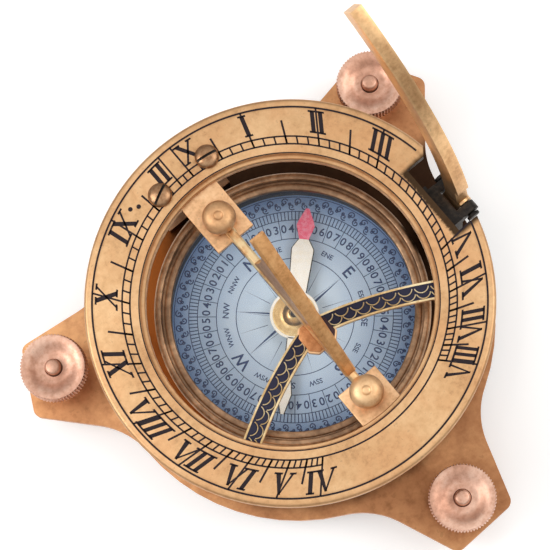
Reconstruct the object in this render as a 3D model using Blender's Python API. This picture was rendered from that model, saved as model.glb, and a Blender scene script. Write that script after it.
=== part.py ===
"""Garden sundial: a brass sundial compass on a three-eared base with levelling screws.

Frame: metres, +Z up, +Y towards the noon side of the dial (north), +X east.
The origin is the centre of the round pedestal pad on the base plate's underside.
"""
import math

import bmesh
import bpy
from mathutils import Matrix, Vector

# ---- clearances -----------------------------------------------------------
GAP = 0.0003            # between pieces that touch
SOLDER_GAP = 0.0003     # between the spider and the ring it is soldered to
TOOL_OVER = 0.0003      # how far a cutting tool runs past the face it cuts
SLOT_W = 0.0006         # driver slots in the small screws and bolts
EDGE_BREAK = 0.0006     # broken edge on turned rods and posts

# ---- base plate -----------------------------------------------------------
PAD_R = 0.0150
PAD_H = 0.0008
PLATE_T = 0.0028
PLATE_R = 0.0505
EAR_END_R = 0.0708      # plate centre to the flat end of an ear
EAR_END_W = 0.0184
EAR_TAPER = math.radians(20.0)
EAR_CORNER_R = 0.0024
EAR_FILLET_R = 0.0200
EAR_BEARINGS = {"s": 177.8, "ne": 60.0, "nw": -62.2}   # clockwise from north, degrees
PLATE_TOP = PAD_H + PLATE_T

# ---- levelling screws -----------------------------------------------------
LEVEL_CIRCLE_R = 0.0620
LEVEL_BEARINGS = {"s": 177.8, "ne": 57.8, "nw": -62.2}
ROD_R = 0.0024
ROD_TIP_Z = -0.0080
STUD_R = 0.0020
STUD_RISE = 0.0012      # stud above the head's rim
HEAD_R = 0.0085
HEAD_H = 0.0055
HEAD_STANDOFF = 0.0100  # plate top to the head's underside
HEAD_CHAMFER = 0.0007
HEAD_DISH = 0.0015
HEAD_RIM_W = 0.0006     # flat rim inside the head's chamfer
HEAD_BOSS_W = 0.0014    # flat round the stud at the bottom of the dish
HEAD_DISH_W = 0.0016    # shallow part of the dish beyond that flat
HEAD_DISH_EASE = 0.82   # share of the dish's depth where it turns shallow
HEAD_Z0 = PLATE_TOP + HEAD_STANDOFF
HEAD_TOP = HEAD_Z0 + HEAD_H

# ---- compass box ----------------------------------------------------------
CASE_R = 0.0340
CASE_WALL = 0.0018
CASE_FLOOR_T = 0.0036
CASE_H = 0.0201
STACK_H = 0.0144         # the case's height less its card seat's
SEAT_H = CASE_H - STACK_H    # hollow seat that lifts the card off the floor
SEAT_WALL = 0.0015
SEAT_ROOF = SEAT_H * 25.0 / 57.0
CARD_T = 0.0008
CARD_HOLE_R = 0.0012
SPACER_WALL = 0.0009
GLASS_T = 0.0016
BEZEL_R = 0.0343
BEZEL_BORE_R = 0.0302
BEZEL_H = 0.0038
BEZEL_LIP_H = 0.0017
BEZEL_RIM_R = 0.0324    # where the raised rim starts
BEZEL_ROUND = 0.0008
CASE_Z0 = PLATE_TOP + GAP
CASE_BORE_R = CASE_R - CASE_WALL
CASE_FLOOR_TOP = CASE_Z0 + CASE_FLOOR_T
CASE_TOP = CASE_Z0 + CASE_H
CARD_R = CASE_BORE_R - GAP
SEAT_Z0 = CASE_FLOOR_TOP + GAP
SEAT_TOP = SEAT_Z0 + SEAT_H
CARD_Z0 = SEAT_TOP + GAP
CARD_TOP = CARD_Z0 + CARD_T
GLASS_Z0 = CASE_TOP - GLASS_T
BEZEL_Z0 = CASE_TOP + GAP
CASE_SCREW_CIRCLE_R = 0.0220
CASE_SCREW_BEARINGS = (30.0, 150.0, 270.0)
CASE_SCREW_R = 0.0012
CASE_SCREW_HEAD_R = 0.0023
CASE_SCREW_HEAD_H = 0.0010
CASE_SCREW_DEPTH = 0.0022   # into the case floor
CASE_SCREW_SLOT = 0.0004

# ---- needle ---------------------------------------------------------------
NEEDLE_BEARING = math.radians(47.0)
NEEDLE_RISE = 0.0028    # card top to the needle's underside
NEEDLE_T = 0.0005
NEEDLE_TIP_R = 0.0272
NEEDLE_TAIL_R = 0.0252
NEEDLE_HUB_R = 0.0062
NEEDLE_BORE_R = 0.0024
NEEDLE_BODY_W = 0.0054
NEEDLE_NECK_W = 0.0024
NEEDLE_KITE_W = 0.0046
CAP_R = 0.0030
CAP_NECK_R = 0.0021
CAP_DROP = 0.0002       # cap below the needle's underside
CAP_H = 0.0030
CAP_SOCKET_R = 0.0010
CAP_RIM_H = 0.0006      # straight part of the cap's side
CAP_CROWN = 0.0003      # last drop from its shoulder to its top
CAP_ROOF = 0.0005       # room over the pivot's tip
PIVOT_R = 0.0007
PIVOT_FLANGE_R = 0.0020
PIVOT_FLANGE_T = 0.0006
PIVOT_SPIGOT = SEAT_ROOF * 0.72   # into the card's seat
PIVOT_POINT = 0.0008    # tip above the needle's underside
PIVOT_CONE = 0.0006     # where its point starts, below the needle
NEEDLE_Z0 = CARD_TOP + NEEDLE_RISE
PIVOT_TIP_Z = NEEDLE_Z0 + PIVOT_POINT

# ---- hour ring and spider -------------------------------------------------
RING_TOP = 0.0416
RING_T = 0.0030
RING_R = 0.0500
RING_BORE_R = 0.0362
RING_LEDGE_R = 0.0352
RING_LEDGE_DROP = 0.0014
RING_EDGE_ROUND = 0.0009
NOTCH_X = 0.0424        # inner edge of the notch on the east side
NOTCH_Y0 = -0.0135
NOTCH_Y1 = 0.0060
NOTCH_CHAMFER = 0.0020  # on the notch's north outer corner
SPIDER_T = 0.0018
SPIDER_OUTER_R = 0.0380
TAB_N_END = 0.0206
TAB_N_W = 0.0110
TAB_S_END = -0.0251
TAB_S_W = 0.0116
ARM_W = 0.0046
ARM_APEX_Y = -0.0084    # centre line: y = apex - slope*x - curve*x^2
ARM_SLOPE = 0.25
ARM_CURVE = 5.75
ARM_START_X = 0.0015
ARM_REACH = 0.0306
HUB_Y0 = -0.0144
HUB_Y1 = -0.0062
HUB_W = 0.0088
HUB_CHAMFER = 0.0018
APEX_PLATE_T = 0.0003
APEX_PLATE_INSET = 0.0003
RING_Z0 = RING_TOP - RING_T
SPIDER_TOP = RING_Z0 - SOLDER_GAP
SPIDER_Z0 = SPIDER_TOP - SPIDER_T

# ---- ring hinge -----------------------------------------------------------
HINGE_Y = 0.0460
KNUCKLE_R = 0.0023
HINGE_PIN_R = 0.0010
KNUCKLE_MID_W = 0.0094  # the bracket's middle knuckle
KNUCKLE_SIDE_W = 0.0042
LEAF_W = 0.0210
LEAF_Y0 = SPIDER_OUTER_R + 0.0005
LEAF_MID_Y1 = HINGE_Y - KNUCKLE_R - 0.0004
BRACKET_FLANGE_W = 0.0200
BRACKET_FLANGE_T = 0.0025
BRACKET_FLANGE_Y0 = 0.0390
BRACKET_FLANGE_LAP = 0.0006  # flange beyond the post
BRACKET_BOLT_X = 0.0072
BRACKET_BOLT_Y = 0.0436
HINGE_Z = SPIDER_TOP - KNUCKLE_R
RING_SCREW_X = 0.0074
RING_SCREW_Y = 0.0403
RING_SCREW_R = 0.0012
RING_SCREW_HEAD_R = 0.0030
RING_SCREW_HEAD_H = 0.0015
RING_SCREW_SLOT_W = 0.0007
RING_SCREW_SLOT = 0.0008

# ---- small bolts that hold the brackets -----------------------------------
BOLT_R = 0.0011
BOLT_HEAD_R = 0.0020
BOLT_HEAD_H = 0.0012
BOLT_FLOOR = 0.0006     # metal left under a bolt hole in the plate
BOLT_SLOT = 0.0005
SHANK_DROP = 0.0005     # ring and dome screws come this far below the spider

# ---- gnomon and its pivots ------------------------------------------------
BLOCK_N_Y = 0.0265
BLOCK_S_Y = -0.0292
BLOCK_HALF = 0.0028
BLOCK_H = 0.0034
TRUNNION_R = 0.0010
TRUNNION_L = 0.0015
TRUNNION_END_GAP = 0.0001   # between a trunnion's end and its hole's bottom
DOME_R = 0.0041
DOME_H = 0.0036
DOME_DIMPLE_R = 0.0011
DOME_DIMPLE = 0.0004
DOME_SHANK_R = 0.0010
BAR_W = 0.0023
BAR_H = 0.0024
BAR_CHAMFER = 0.0005    # lets the bar turn over the apex plate
WEB_T = 0.0016
STYLE_FOOT_Y = -0.0234
STYLE_TOP_Y = 0.0119
STYLE_H = 0.0280        # top of the style above the pivot axis
STYLE_W_FOOT = 0.0031
STYLE_W_TOP = 0.0039
STYLE_T = 0.0016
GNOMON_BACK_Y = 0.0127
GNOMON_BACK_BOW = 0.0025
GNOMON_LEAN = math.radians(5.2)   # the blade rests leaning a little to the east
GNOMON_Z = SPIDER_TOP + GAP + 0.0020

# ---- latitude arc and its bracket -----------------------------------------
ARC_X = 0.0482          # pin axis
ARC_Z = 0.0356
ARC_T = 0.0033
ARC_CENTRE_Y = 0.0642
ARC_CENTRE_Z = 0.0237
ARC_OUTER_R = 0.0750
ARC_INNER_R = 0.0690
ARC_SHANK_STEP = 0.0014
ARC_FOOT_ROUND = 0.0006
ARC_FOOT_EASE = 0.01    # angle over which the foot runs out to full width
ARC_FOOT_ANGLE = math.radians(16.5)
ARC_SHANK_ANGLE = math.radians(9.9)
ARC_TOP_ANGLE = math.radians(66.0)
ARC_LEAN = math.radians(3.5)
ARC_EYE_R = 0.0023
ARC_EYE_Y0 = -0.0086
ARC_EYE_Y1 = -0.0032
ARC_PIN_R = 0.0010
LUG_W = 0.0025
LUG_INSET = 0.0001      # lugs stand back from the post's sides
ARC_POST_X0 = 0.0415
ARC_POST_X1 = 0.0454
ARC_POST_RISE = 0.0002  # post above the lugs
ARC_FLANGE_X0 = 0.0395
ARC_FLANGE_X1 = 0.0475
ARC_FLANGE_T = 0.0023
ARC_FLANGE_END = 0.0060  # flange beyond the post, each way
ARC_BOLT_OUT = 0.0002    # bolts sit this far outwards of the flange ends' middle
ARC_BOLT_X = 0.0438

# ---- rest post under the ring ---------------------------------------------
POST_Y = -0.0420
POST_R = 0.0022
POST_FLANGE_R = 0.0036
POST_FLANGE_T = 0.0015

PIN_HEAD_T = 0.0008
PIN_HEAD_EXTRA = 0.0007

LARGE_SEGMENTS = 60
ROUND_SEGMENTS = 24
SMALL_SEGMENTS = 12

# ---- materials: colour, roughness, metallic -------------------------------
FINISHES = {
    "antique_brass": ((0.62, 0.43, 0.20, 1.0), 0.38, 1.0),
    "base_copper": ((0.56, 0.30, 0.13, 1.0), 0.42, 1.0),
    "pink_copper": ((0.72, 0.45, 0.34, 1.0), 0.30, 1.0),
    "dark_brass": ((0.28, 0.18, 0.10, 1.0), 0.45, 1.0),
    "bright_brass": ((0.78, 0.55, 0.27, 1.0), 0.25, 1.0),
    "printed_card": ((0.30, 0.42, 0.60, 1.0), 0.60, 0.0),
    "clear_glass": ((0.95, 0.97, 1.0, 0.15), 0.05, 0.0),
    "needle_paint": ((0.90, 0.88, 0.80, 1.0), 0.45, 0.0),
}


def clear_scene():
    """Remove every object so the model starts empty."""
    for obj in list(bpy.data.objects):
        bpy.data.objects.remove(obj, do_unlink=True)


def finish(key):
    """Return the named metal, paint or glass material, made once."""
    if key in bpy.data.materials:
        return bpy.data.materials[key]
    colour, roughness, metallic = FINISHES[key]
    material = bpy.data.materials.new(key)
    material.use_nodes = True
    shader = material.node_tree.nodes["Principled BSDF"]
    shader.inputs["Base Color"].default_value = colour
    shader.inputs["Roughness"].default_value = roughness
    shader.inputs["Metallic"].default_value = metallic
    shader.inputs["Alpha"].default_value = colour[3]
    return material


# ---- modelling helpers ----------------------------------------------------
def bearing_xy(radius, bearing):
    """Point at a radius and a compass bearing (radians, clockwise from +Y)."""
    return Vector((radius * math.sin(bearing), radius * math.cos(bearing)))


def make_object(name, bm, key, origin=(0.0, 0.0, 0.0)):
    """Turn a bmesh in world coordinates into an object whose origin is at origin."""
    offset = Vector(origin)
    bmesh.ops.translate(bm, vec=-offset, verts=bm.verts)
    bmesh.ops.recalc_face_normals(bm, faces=bm.faces)
    mesh = bpy.data.meshes.new(name)
    bm.to_mesh(mesh)
    bm.free()
    obj = bpy.data.objects.new(name, mesh)
    obj.location = offset
    bpy.context.collection.objects.link(obj)
    mesh.materials.append(finish(key))
    mesh.shade_smooth()
    mesh.set_sharp_from_angle(angle=math.radians(32.0))
    return obj


def turned(profile, segments, centre=(0.0, 0.0)):
    """Turn a closed profile of (radius, z) points about the vertical line at centre."""
    bm = bmesh.new()
    rings = []
    for radius, z in profile:
        if radius < 1e-9:
            rings.append([bm.verts.new((centre[0], centre[1], z))])
            continue
        ring = []
        for i in range(segments):
            angle = 2.0 * math.pi * i / segments
            x = centre[0] + radius * math.cos(angle)
            y = centre[1] + radius * math.sin(angle)
            ring.append(bm.verts.new((x, y, z)))
        rings.append(ring)
    for k, ring in enumerate(rings):
        following = rings[(k + 1) % len(rings)]
        if len(ring) == 1 and len(following) == 1:
            continue
        for i in range(segments):
            j = (i + 1) % segments
            corners = [ring[i % len(ring)], ring[j % len(ring)]]
            corners += [following[j % len(following)], following[i % len(following)]]
            unique = list(dict.fromkeys(corners))
            bm.faces.new(unique)
    return bm


def extruded(outline, z0, z1):
    """Extrude a flat outline of (x, y) points from z0 to z1."""
    bm = bmesh.new()
    base = [bm.verts.new((x, y, z0)) for x, y in outline]
    face = bm.faces.new(base)
    grown = bmesh.ops.extrude_face_region(bm, geom=[face])
    raised = [item for item in grown["geom"] if isinstance(item, bmesh.types.BMVert)]
    bmesh.ops.translate(bm, vec=(0.0, 0.0, z1 - z0), verts=raised)
    return bm


def along_x(bm):
    """Turn a part built about +Z so that it lies along +X (z becomes x)."""
    turn = Matrix(((0, 0, 1, 0), (1, 0, 0, 0), (0, 1, 0, 0), (0, 0, 0, 1)))
    bmesh.ops.transform(bm, matrix=turn, verts=bm.verts)
    return bm


def along_y(bm):
    """Turn a part built about +Z so that it lies along +Y (z becomes y)."""
    turn = Matrix(((0, 1, 0, 0), (0, 0, 1, 0), (1, 0, 0, 0), (0, 0, 0, 1)))
    bmesh.ops.transform(bm, matrix=turn, verts=bm.verts)
    return bm


def box_outline(x0, x1, y0, y1):
    """Corners of a rectangle."""
    return [(x0, y0), (x1, y0), (x1, y1), (x0, y1)]


def chamfered_outline(x0, x1, y0, y1, c):
    """Corners of a rectangle whose four corners are cut off by c."""
    return [(x0 + c, y0), (x1 - c, y0), (x1, y0 + c), (x1, y1 - c), (x1 - c, y1), (x0 + c, y1),
            (x0, y1 - c), (x0, y0 + c)]


def cylinder(radius, z0, z1, centre, segments=SMALL_SEGMENTS):
    """A plain cylinder about a vertical line."""
    return turned([(0.0, z0), (radius, z0), (radius, z1), (0.0, z1)], segments, centre)


def tongue_outline(centre, radius, ahead, reach, steps=8):
    """A strip with a round end about centre, running back from it by reach."""
    centre = Vector(centre)
    ahead = Vector(ahead)
    across = Vector((-ahead.y, ahead.x))
    points = [centre - ahead * reach + across * radius, centre - ahead * reach - across * radius]
    for s in range(steps + 1):
        angle = math.pi * s / steps
        points.append(centre + (ahead * math.sin(angle) - across * math.cos(angle)) * radius)
    return [tuple(point) for point in points]


def rounded_outline(corners, steps=6):
    """Round the corners of an outline given as (x, y, radius)."""
    points = []
    count = len(corners)
    for i, (x, y, radius) in enumerate(corners):
        here = Vector((x, y))
        if radius <= 0.0:
            points.append(tuple(here))
            continue
        back = (Vector(corners[i - 1][:2]) - here).normalized()
        ahead = (Vector(corners[(i + 1) % count][:2]) - here).normalized()
        half = back.angle(ahead) / 2.0
        reach = radius / math.tan(half)
        centre = here + (back + ahead).normalized() * (radius / math.sin(half))
        start = here + back * reach - centre
        end = here + ahead * reach - centre
        sweep = start.angle_signed(end)
        for s in range(steps + 1):
            arm = start.copy()
            arm.rotate(Matrix.Rotation(-sweep * s / steps, 2))
            points.append(tuple(centre + arm))
    return points


def combine(obj, bm, operation):
    """Join a bmesh tool to an object, or cut it away, and keep the result as its mesh."""
    mesh = bpy.data.meshes.new("tool")
    bmesh.ops.recalc_face_normals(bm, faces=bm.faces)
    bm.to_mesh(mesh)
    bm.free()
    tool = bpy.data.objects.new("tool", mesh)
    bpy.context.collection.objects.link(tool)
    modifier = obj.modifiers.new("combine", "BOOLEAN")
    modifier.operation = operation
    modifier.solver = "EXACT"
    modifier.object = tool
    bpy.context.view_layer.update()
    graph = bpy.context.evaluated_depsgraph_get()
    result = bpy.data.meshes.new_from_object(obj.evaluated_get(graph), depsgraph=graph)
    obj.modifiers.remove(modifier)
    old = obj.data
    name = old.name
    obj.data = result
    bpy.data.meshes.remove(old)
    result.name = name
    bpy.data.objects.remove(tool, do_unlink=True)
    bpy.data.meshes.remove(mesh)
    result.shade_smooth()
    result.set_sharp_from_angle(angle=math.radians(32.0))


def cut(obj, bm):
    """Cut a tool away from an object."""
    combine(obj, bm, "DIFFERENCE")


def join(obj, bm):
    """Join a tool to an object."""
    combine(obj, bm, "UNION")


def slot_tool(centre, length, width, z0, z1):
    """A straight screwdriver slot along X."""
    x, y = centre
    outline = box_outline(x - length / 2.0, x + length / 2.0, y - width / 2.0, y + width / 2.0)
    return extruded(outline, z0, z1)


# ---- base plate and levelling screws --------------------------------------
def ear_side():
    """Right-hand side of an ear that points along +Y: end corner, fillet, disc tangent.

    Returns:
        The points from the middle of the ear's end round to the disc, and the bearing
        at which the fillet meets the disc.
    """
    corner = Vector((EAR_END_W / 2.0, EAR_END_R))
    down = Vector((math.sin(EAR_TAPER), -math.cos(EAR_TAPER)))
    out = Vector((math.cos(EAR_TAPER), math.sin(EAR_TAPER)))
    base = corner + out * EAR_FILLET_R
    reach = PLATE_R + EAR_FILLET_R
    half_b = base.dot(down)
    run = -half_b - math.sqrt(half_b * half_b - base.dot(base) + reach * reach)
    if run < 0.0:
        run = -half_b + math.sqrt(half_b * half_b - base.dot(base) + reach * reach)
    centre = base + down * run
    start = corner + down * run
    end = centre * (PLATE_R / reach)
    points = rounded_outline([(0.0, EAR_END_R, 0.0), (corner.x, corner.y, EAR_CORNER_R),
                              (start.x, start.y, 0.0)])
    arm = start - centre
    sweep = arm.angle_signed(end - centre)
    steps = 12
    for s in range(1, steps + 1):
        spoke = arm.copy()
        spoke.rotate(Matrix.Rotation(-sweep * s / steps, 2))
        points.append(tuple(centre + spoke))
    return points, math.atan2(end.x, end.y)


def base_outline():
    """Outline of the plate: the disc with three ears, clockwise from the north-west ear."""
    side, tangent = ear_side()
    middles = [math.radians(EAR_BEARINGS[key]) for key in ("nw", "ne", "s")]
    outline = []
    for i, middle in enumerate(middles):
        turn = Matrix.Rotation(-middle, 2)
        left = [turn @ Vector((-x, y)) for x, y in reversed(side[1:])]
        right = [turn @ Vector((x, y)) for x, y in side[1:]]
        outline += [tuple(p) for p in left + right]
        following = middles[i + 1] if i < 2 else middles[0] + 2.0 * math.pi
        span = following - middle - 2.0 * tangent
        steps = 10
        for s in range(1, steps):
            outline.append(tuple(bearing_xy(PLATE_R, middle + tangent + span * s / steps)))
    return outline


def level_xy(key):
    """Centre of a levelling screw."""
    return bearing_xy(LEVEL_CIRCLE_R, math.radians(LEVEL_BEARINGS[key]))


def bolt_positions():
    """Centres of the bolts that hold the two brackets, by node name."""
    lug_s = ARC_EYE_Y0 - GAP - LUG_W
    lug_n = ARC_EYE_Y1 + GAP + LUG_W
    middle = ARC_FLANGE_END / 2.0 + ARC_BOLT_OUT
    return {
        "hinge_bolt_w": (-BRACKET_BOLT_X, BRACKET_BOLT_Y),
        "hinge_bolt_e": (BRACKET_BOLT_X, BRACKET_BOLT_Y),
        "arc_bolt_s": (ARC_BOLT_X, lug_s - middle),
        "arc_bolt_n": (ARC_BOLT_X, lug_n + middle),
    }


def build_base_plate():
    """The three-eared plate with its pedestal pad and screw holes."""
    plate = make_object("base_plate", extruded(base_outline(), PAD_H, PLATE_TOP), "base_copper")
    join(plate, cylinder(PAD_R, 0.0, PAD_H + PLATE_T / 2.0, (0.0, 0.0), LARGE_SEGMENTS))
    for key in LEVEL_BEARINGS:
        cut(plate, cylinder(ROD_R + GAP, -PLATE_T, PLATE_TOP + PLATE_T, level_xy(key)))
    for bearing in CASE_SCREW_BEARINGS:
        place = bearing_xy(CASE_SCREW_CIRCLE_R, math.radians(bearing))
        recess_top = PAD_H + CASE_SCREW_HEAD_H + 2.0 * GAP
        recess_r = CASE_SCREW_HEAD_R + GAP
        hole_r = CASE_SCREW_R + GAP
        above = PLATE_TOP + PLATE_T
        stepped = [(0.0, -PLATE_T), (recess_r, -PLATE_T), (recess_r, recess_top),
                   (hole_r, recess_top), (hole_r, above), (0.0, above)]
        cut(plate, turned(stepped, SMALL_SEGMENTS, place))
    for place in bolt_positions().values():
        cut(plate, cylinder(BOLT_R + GAP, PAD_H + BOLT_FLOOR, PLATE_TOP + PLATE_T, place))
    cut(plate, cylinder(POST_R * 0.6 + GAP, PAD_H + BOLT_FLOOR, PLATE_TOP + PLATE_T, (0.0, POST_Y)))
    return plate


def build_level_screw(key):
    """One levelling screw: the threaded rod and the knurled head round its stud."""
    place = level_xy(key)
    shoulder = HEAD_Z0 - GAP
    tip = EDGE_BREAK
    rod = [(0.0, ROD_TIP_Z), (ROD_R - tip, ROD_TIP_Z), (ROD_R, ROD_TIP_Z + tip),
           (ROD_R, shoulder), (STUD_R, shoulder), (STUD_R, HEAD_TOP + STUD_RISE - tip),
           (STUD_R - tip, HEAD_TOP + STUD_RISE), (0.0, HEAD_TOP + STUD_RISE)]
    origin = (place.x, place.y, PLATE_TOP)
    make_object("level_rod_" + key, turned(rod, SMALL_SEGMENTS, place), "pink_copper", origin)
    bore = STUD_R + GAP
    rim = HEAD_R - HEAD_CHAMFER
    boss = STUD_R + HEAD_BOSS_W
    head = [(bore, HEAD_Z0), (rim, HEAD_Z0), (HEAD_R, HEAD_Z0 + HEAD_CHAMFER),
            (HEAD_R, HEAD_TOP - HEAD_CHAMFER), (rim, HEAD_TOP), (rim - HEAD_RIM_W, HEAD_TOP),
            (boss + HEAD_DISH_W, HEAD_TOP - HEAD_DISH * HEAD_DISH_EASE), (boss, HEAD_TOP - HEAD_DISH),
            (bore, HEAD_TOP - HEAD_DISH)]
    origin = (place.x, place.y, HEAD_Z0)
    make_object("level_head_" + key, turned(head, ROUND_SEGMENTS, place), "pink_copper", origin)


# ---- compass box ----------------------------------------------------------
def build_case():
    """The round box: a cup with blind holes for its screws."""
    profile = [(0.0, CASE_Z0), (CASE_R, CASE_Z0), (CASE_R, CASE_TOP), (CASE_BORE_R, CASE_TOP),
               (CASE_BORE_R, CASE_FLOOR_TOP), (0.0, CASE_FLOOR_TOP)]
    case = make_object("compass_case", turned(profile, LARGE_SEGMENTS), "dark_brass")
    for i, bearing in enumerate(CASE_SCREW_BEARINGS):
        place = bearing_xy(CASE_SCREW_CIRCLE_R, math.radians(bearing))
        top = CASE_Z0 + CASE_SCREW_DEPTH
        cut(case, cylinder(CASE_SCREW_R + GAP, CASE_Z0 - GAP, top + GAP, place))
        head_z0 = PAD_H + GAP
        head_z1 = head_z0 + CASE_SCREW_HEAD_H
        screw = [(0.0, head_z0), (CASE_SCREW_HEAD_R, head_z0), (CASE_SCREW_HEAD_R, head_z1),
                 (CASE_SCREW_R, head_z1), (CASE_SCREW_R, top), (0.0, top)]
        body = make_object("case_screw_%d" % (i + 1), turned(screw, SMALL_SEGMENTS, place),
                           "dark_brass", (place.x, place.y, head_z0))
        length = 2.0 * CASE_SCREW_HEAD_R
        cut(body, slot_tool(place, length * 1.2, SLOT_W, head_z0 - TOOL_OVER, head_z0 + CASE_SCREW_SLOT))


def build_card_stack():
    """Seat, card, spacer ring, glass and bezel inside and on the box."""
    hole = PIVOT_R + GAP
    roof = SEAT_TOP - SEAT_ROOF
    seat = [(hole, roof), (CARD_R - SEAT_WALL, roof), (CARD_R - SEAT_WALL, SEAT_Z0),
            (CARD_R, SEAT_Z0), (CARD_R, SEAT_TOP), (hole, SEAT_TOP)]
    make_object("card_seat", turned(seat, LARGE_SEGMENTS), "dark_brass")
    card = [(CARD_HOLE_R, CARD_Z0), (CARD_R, CARD_Z0), (CARD_R, CARD_TOP), (CARD_HOLE_R, CARD_TOP)]
    make_object("dial_card", turned(card, LARGE_SEGMENTS), "printed_card")
    spacer_z0 = CARD_TOP + GAP
    spacer_z1 = GLASS_Z0 - GAP
    bore = CARD_R - SPACER_WALL
    spacer = [(bore, spacer_z0), (CARD_R, spacer_z0), (CARD_R, spacer_z1), (bore, spacer_z1)]
    make_object("glass_spacer", turned(spacer, LARGE_SEGMENTS), "dark_brass")
    glass = [(0.0, GLASS_Z0), (CARD_R, GLASS_Z0), (CARD_R, CASE_TOP), (0.0, CASE_TOP)]
    make_object("glass", turned(glass, LARGE_SEGMENTS), "clear_glass")
    top = BEZEL_Z0 + BEZEL_H
    lip = BEZEL_Z0 + BEZEL_LIP_H
    bezel = [(BEZEL_BORE_R, BEZEL_Z0), (BEZEL_R, BEZEL_Z0), (BEZEL_R, top - BEZEL_ROUND),
             (BEZEL_R - BEZEL_ROUND * 0.3, top - BEZEL_ROUND * 0.3), (BEZEL_R - BEZEL_ROUND, top),
             (BEZEL_RIM_R + BEZEL_ROUND * 0.4, top), (BEZEL_RIM_R, top - BEZEL_ROUND * 0.5),
             (BEZEL_RIM_R, lip), (BEZEL_BORE_R + BEZEL_ROUND * 0.5, lip),
             (BEZEL_BORE_R, lip - BEZEL_ROUND * 0.5)]
    make_object("bezel_ring", turned(bezel, LARGE_SEGMENTS), "dark_brass")


def build_pivot():
    """The pin that the needle turns on."""
    foot = SEAT_TOP - PIVOT_SPIGOT
    flange = CARD_TOP + GAP
    profile = [(0.0, foot), (PIVOT_R, foot), (PIVOT_R, flange), (PIVOT_FLANGE_R, flange),
               (PIVOT_FLANGE_R, flange + PIVOT_FLANGE_T), (PIVOT_R, flange + PIVOT_FLANGE_T),
               (PIVOT_R, NEEDLE_Z0 - PIVOT_CONE), (0.0, PIVOT_TIP_Z)]
    make_object("pivot_pin", turned(profile, SMALL_SEGMENTS), "bright_brass")


def needle_outline():
    """Outline of the needle pointing along +Y, clockwise from its tip."""
    half_body = NEEDLE_BODY_W / 2.0
    half_neck = NEEDLE_NECK_W / 2.0
    half_kite = NEEDLE_KITE_W / 2.0
    shoulder = NEEDLE_TIP_R * 0.62
    waist = NEEDLE_TIP_R * 0.71
    kite = NEEDLE_TIP_R * 0.84
    root = half_neck * 1.7
    root_y = math.sqrt(NEEDLE_HUB_R ** 2 - root ** 2)
    right = [(half_neck * 0.35, NEEDLE_TIP_R), (half_kite, kite), (half_neck, waist),
             (half_body, shoulder), (root, root_y)]
    tail_y = -math.sqrt(NEEDLE_HUB_R ** 2 - half_neck ** 2)
    lower = [(half_neck, tail_y), (half_neck, -NEEDLE_TAIL_R * 0.60),
             (half_kite, -NEEDLE_TAIL_R * 0.80), (half_neck * 0.35, -NEEDLE_TAIL_R)]
    start = math.atan2(root, root_y)
    end = math.pi - math.atan2(half_neck, -tail_y)
    steps = 12
    hub = [tuple(bearing_xy(NEEDLE_HUB_R, start + (end - start) * s / steps)) for s in range(1, steps)]
    side = right + hub + lower
    return side + [(-x, y) for x, y in reversed(side)]


def build_needle():
    """The flat needle and the brass cap that rides on the pivot."""
    plate = extruded(needle_outline(), NEEDLE_Z0, NEEDLE_Z0 + NEEDLE_T)
    bmesh.ops.rotate(plate, cent=(0, 0, 0), matrix=Matrix.Rotation(-NEEDLE_BEARING, 3, "Z"),
                     verts=plate.verts)
    needle = make_object("needle", plate, "needle_paint")
    cut(needle, cylinder(NEEDLE_BORE_R, NEEDLE_Z0 - NEEDLE_T, NEEDLE_Z0 + 2.0 * NEEDLE_T, (0.0, 0.0)))
    foot = NEEDLE_Z0 - CAP_DROP
    seat = NEEDLE_Z0 + NEEDLE_T + GAP
    top = foot + CAP_H
    roof = PIVOT_TIP_Z + CAP_ROOF
    profile = [(CAP_SOCKET_R, foot), (CAP_NECK_R, foot), (CAP_NECK_R, seat), (CAP_R, seat),
               (CAP_R, seat + CAP_RIM_H), (CAP_R * 0.55, top - CAP_CROWN), (CAP_R * 0.30, top),
               (0.0, top), (0.0, roof)]
    make_object("needle_cap", turned(profile, ROUND_SEGMENTS), "bright_brass")


# ---- hour ring ------------------------------------------------------------
def build_hour_ring():
    """The flat hour ring with its inner ledge, notch and screw holes."""
    ledge = RING_TOP - RING_LEDGE_DROP
    e = RING_EDGE_ROUND
    profile = [(RING_LEDGE_R, RING_Z0), (RING_R - e, RING_Z0), (RING_R - e * 0.3, RING_Z0 + e * 0.3),
               (RING_R, RING_Z0 + e), (RING_R, RING_TOP - e), (RING_R - e * 0.3, RING_TOP - e * 0.3),
               (RING_R - e, RING_TOP), (RING_BORE_R, RING_TOP), (RING_BORE_R, ledge),
               (RING_LEDGE_R, ledge)]
    origin = (0.0, HINGE_Y, HINGE_Z)
    ring = make_object("hour_ring", turned(profile, LARGE_SEGMENTS), "antique_brass", origin)
    rim_x = math.sqrt(RING_R ** 2 - NOTCH_Y1 ** 2)
    wide_y = NOTCH_Y1 + 2.0 * NOTCH_CHAMFER
    notch = [(NOTCH_X, NOTCH_Y0), (RING_R * 1.2, NOTCH_Y0), (RING_R * 1.2, wide_y),
             (rim_x + NOTCH_CHAMFER * 0.5, wide_y), (rim_x - NOTCH_CHAMFER, NOTCH_Y1),
             (NOTCH_X, NOTCH_Y1)]
    cut(ring, extruded(notch, RING_Z0 - RING_T, RING_TOP + RING_T))
    for side in (-1.0, 1.0):
        place = (side * RING_SCREW_X, RING_SCREW_Y)
        cut(ring, cylinder(RING_SCREW_R + GAP, RING_Z0 - RING_T, RING_TOP + RING_T, place))


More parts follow.
